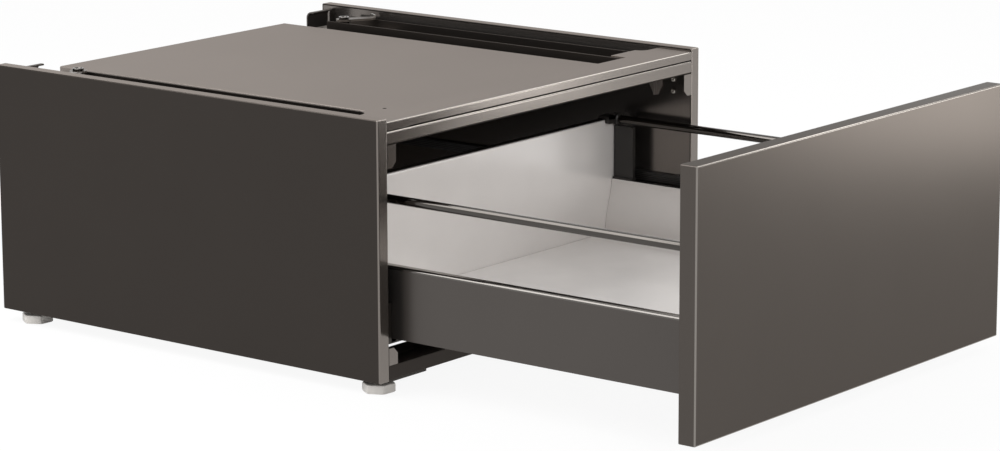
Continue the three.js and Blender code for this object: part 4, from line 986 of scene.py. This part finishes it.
def sweep_material():
    """Paper: lit diffuse, mixed with an even glow of strength 1 for camera and glossy rays."""
    material = bpy.data.materials.new("paper")
    material.use_nodes = True
    tree = material.node_tree
    tree.nodes.clear()
    output = tree.nodes.new("ShaderNodeOutputMaterial")
    paper = tree.nodes.new("ShaderNodeBsdfDiffuse")
    glow = tree.nodes.new("ShaderNodeEmission")
    mix = tree.nodes.new("ShaderNodeMixShader")
    grain = noise(tree, tree.nodes.new("ShaderNodeTexCoord").outputs["Object"], 300, 1.0)
    tones = two_tone(tree, grain, (0.86, 0.86, 0.86), (0.88, 0.88, 0.88))
    tree.links.new(tones, paper.inputs["Color"])
    tree.links.new(seen_directly(tree, GLOW_SHARE), mix.inputs["Fac"])
    tree.links.new(paper.outputs[0], mix.inputs[1])
    tree.links.new(glow.outputs[0], mix.inputs[2])
    tree.links.new(mix.outputs[0], output.inputs["Surface"])
    return material


def seen_directly(tree, share):
    """The given share for camera, glossy and see-through rays, and nothing for lighting rays."""
    path = tree.nodes.new("ShaderNodeLightPath")
    total = path.outputs["Is Camera Ray"]
    for other in ("Is Glossy Ray", "Is Transmission Ray"):
        add = tree.nodes.new("ShaderNodeMath")
        add.operation = "ADD"
        add.use_clamp = True
        tree.links.new(total, add.inputs[0])
        tree.links.new(path.outputs[other], add.inputs[1])
        total = add.outputs[0]
    part = tree.nodes.new("ShaderNodeMath")
    part.operation = "MULTIPLY"
    part.inputs[1].default_value = share
    tree.links.new(total, part.inputs[0])
    return part.outputs[0]


floor_corners = [(-HALF_SPAN, -HALF_SPAN, 0), (HALF_SPAN, -HALF_SPAN, 0),
                 (HALF_SPAN, HALF_SPAN, 0), (-HALF_SPAN, HALF_SPAN, 0)]
floor_mesh = bpy.data.meshes.new("floor")
floor_mesh.from_pydata(floor_corners, [], [(0, 1, 2, 3)])
floor_mesh.materials.append(sweep_material())
floor = bpy.data.objects.new("floor", floor_mesh)
bpy.context.scene.collection.objects.link(floor)
print("floor", 2 * HALF_SPAN, "m square")

# %% [markdown]
# ## Light
# The room itself lights everything softly. Four soft boxes do the rest. A low one hangs at the
# right, and the drawer's front mirrors it at its upper right corner. A high one on the right
# draws the bright lines along the cross folds. One over the back draws those along the rails and
# the drawer's sides, and one in front reaches into the drawer.

# %% World
ROOM_LIGHT, WHITE = 0.72, 1.0
world = bpy.data.worlds.new("studio")
bpy.context.scene.world = world
world.use_nodes = True
tree = world.node_tree
tree.nodes.clear()
room = tree.nodes.new("ShaderNodeBackground")
room.inputs["Strength"].default_value = ROOM_LIGHT
white = tree.nodes.new("ShaderNodeBackground")
white.inputs["Strength"].default_value = WHITE
for background in (room, white):
    background.inputs["Color"].default_value = (1, 1, 1, 1)
blend = tree.nodes.new("ShaderNodeMixShader")
tree.links.new(seen_directly(tree, 1.0), blend.inputs["Fac"])
tree.links.new(room.outputs[0], blend.inputs[1])
tree.links.new(white.outputs[0], blend.inputs[2])
output = tree.nodes.new("ShaderNodeOutputWorld")
tree.links.new(blend.outputs[0], output.inputs["Surface"])
print("room light", ROOM_LIGHT)


# %% Soft boxes
def soft_box(name, place, target, width, height, radiance):
    """Area lamp facing its target. Its power is the wanted radiance times pi times its area."""
    light = bpy.data.lights.new(name, "AREA")
    light.shape = "RECTANGLE"
    light.size, light.size_y = width, height
    light.energy = radiance * np.pi * width * height
    lamp = bpy.data.objects.new(name, light)
    bpy.context.scene.collection.objects.link(lamp)
    facing = (Vector(target) - Vector(place)).to_track_quat("-Z", "Y")
    lamp.matrix_world = Matrix.Translation(place) @ facing.to_matrix().to_4x4()
    lamp.visible_camera = False
    print(name, round(light.energy, 1), "W")


soft_box("box_low", (0.84, -0.98, 0.23), (0.2, -0.5, 0.26), 0.40, 0.28, 5.5)
soft_box("box_high", (1.9, -0.6, 1.7), (0.0, -0.1, 0.3), 2.2, 0.6, 3.6)
soft_box("box_back", (-1.0, 0.9, 1.6), (-0.52, 0.9, 0.72), 1.3, 1.8, 4.6)
soft_box("box_front", (-0.7, -2.9, 1.5), (0.0, -0.1, 0.2), 1.3, 0.9, 5.5)
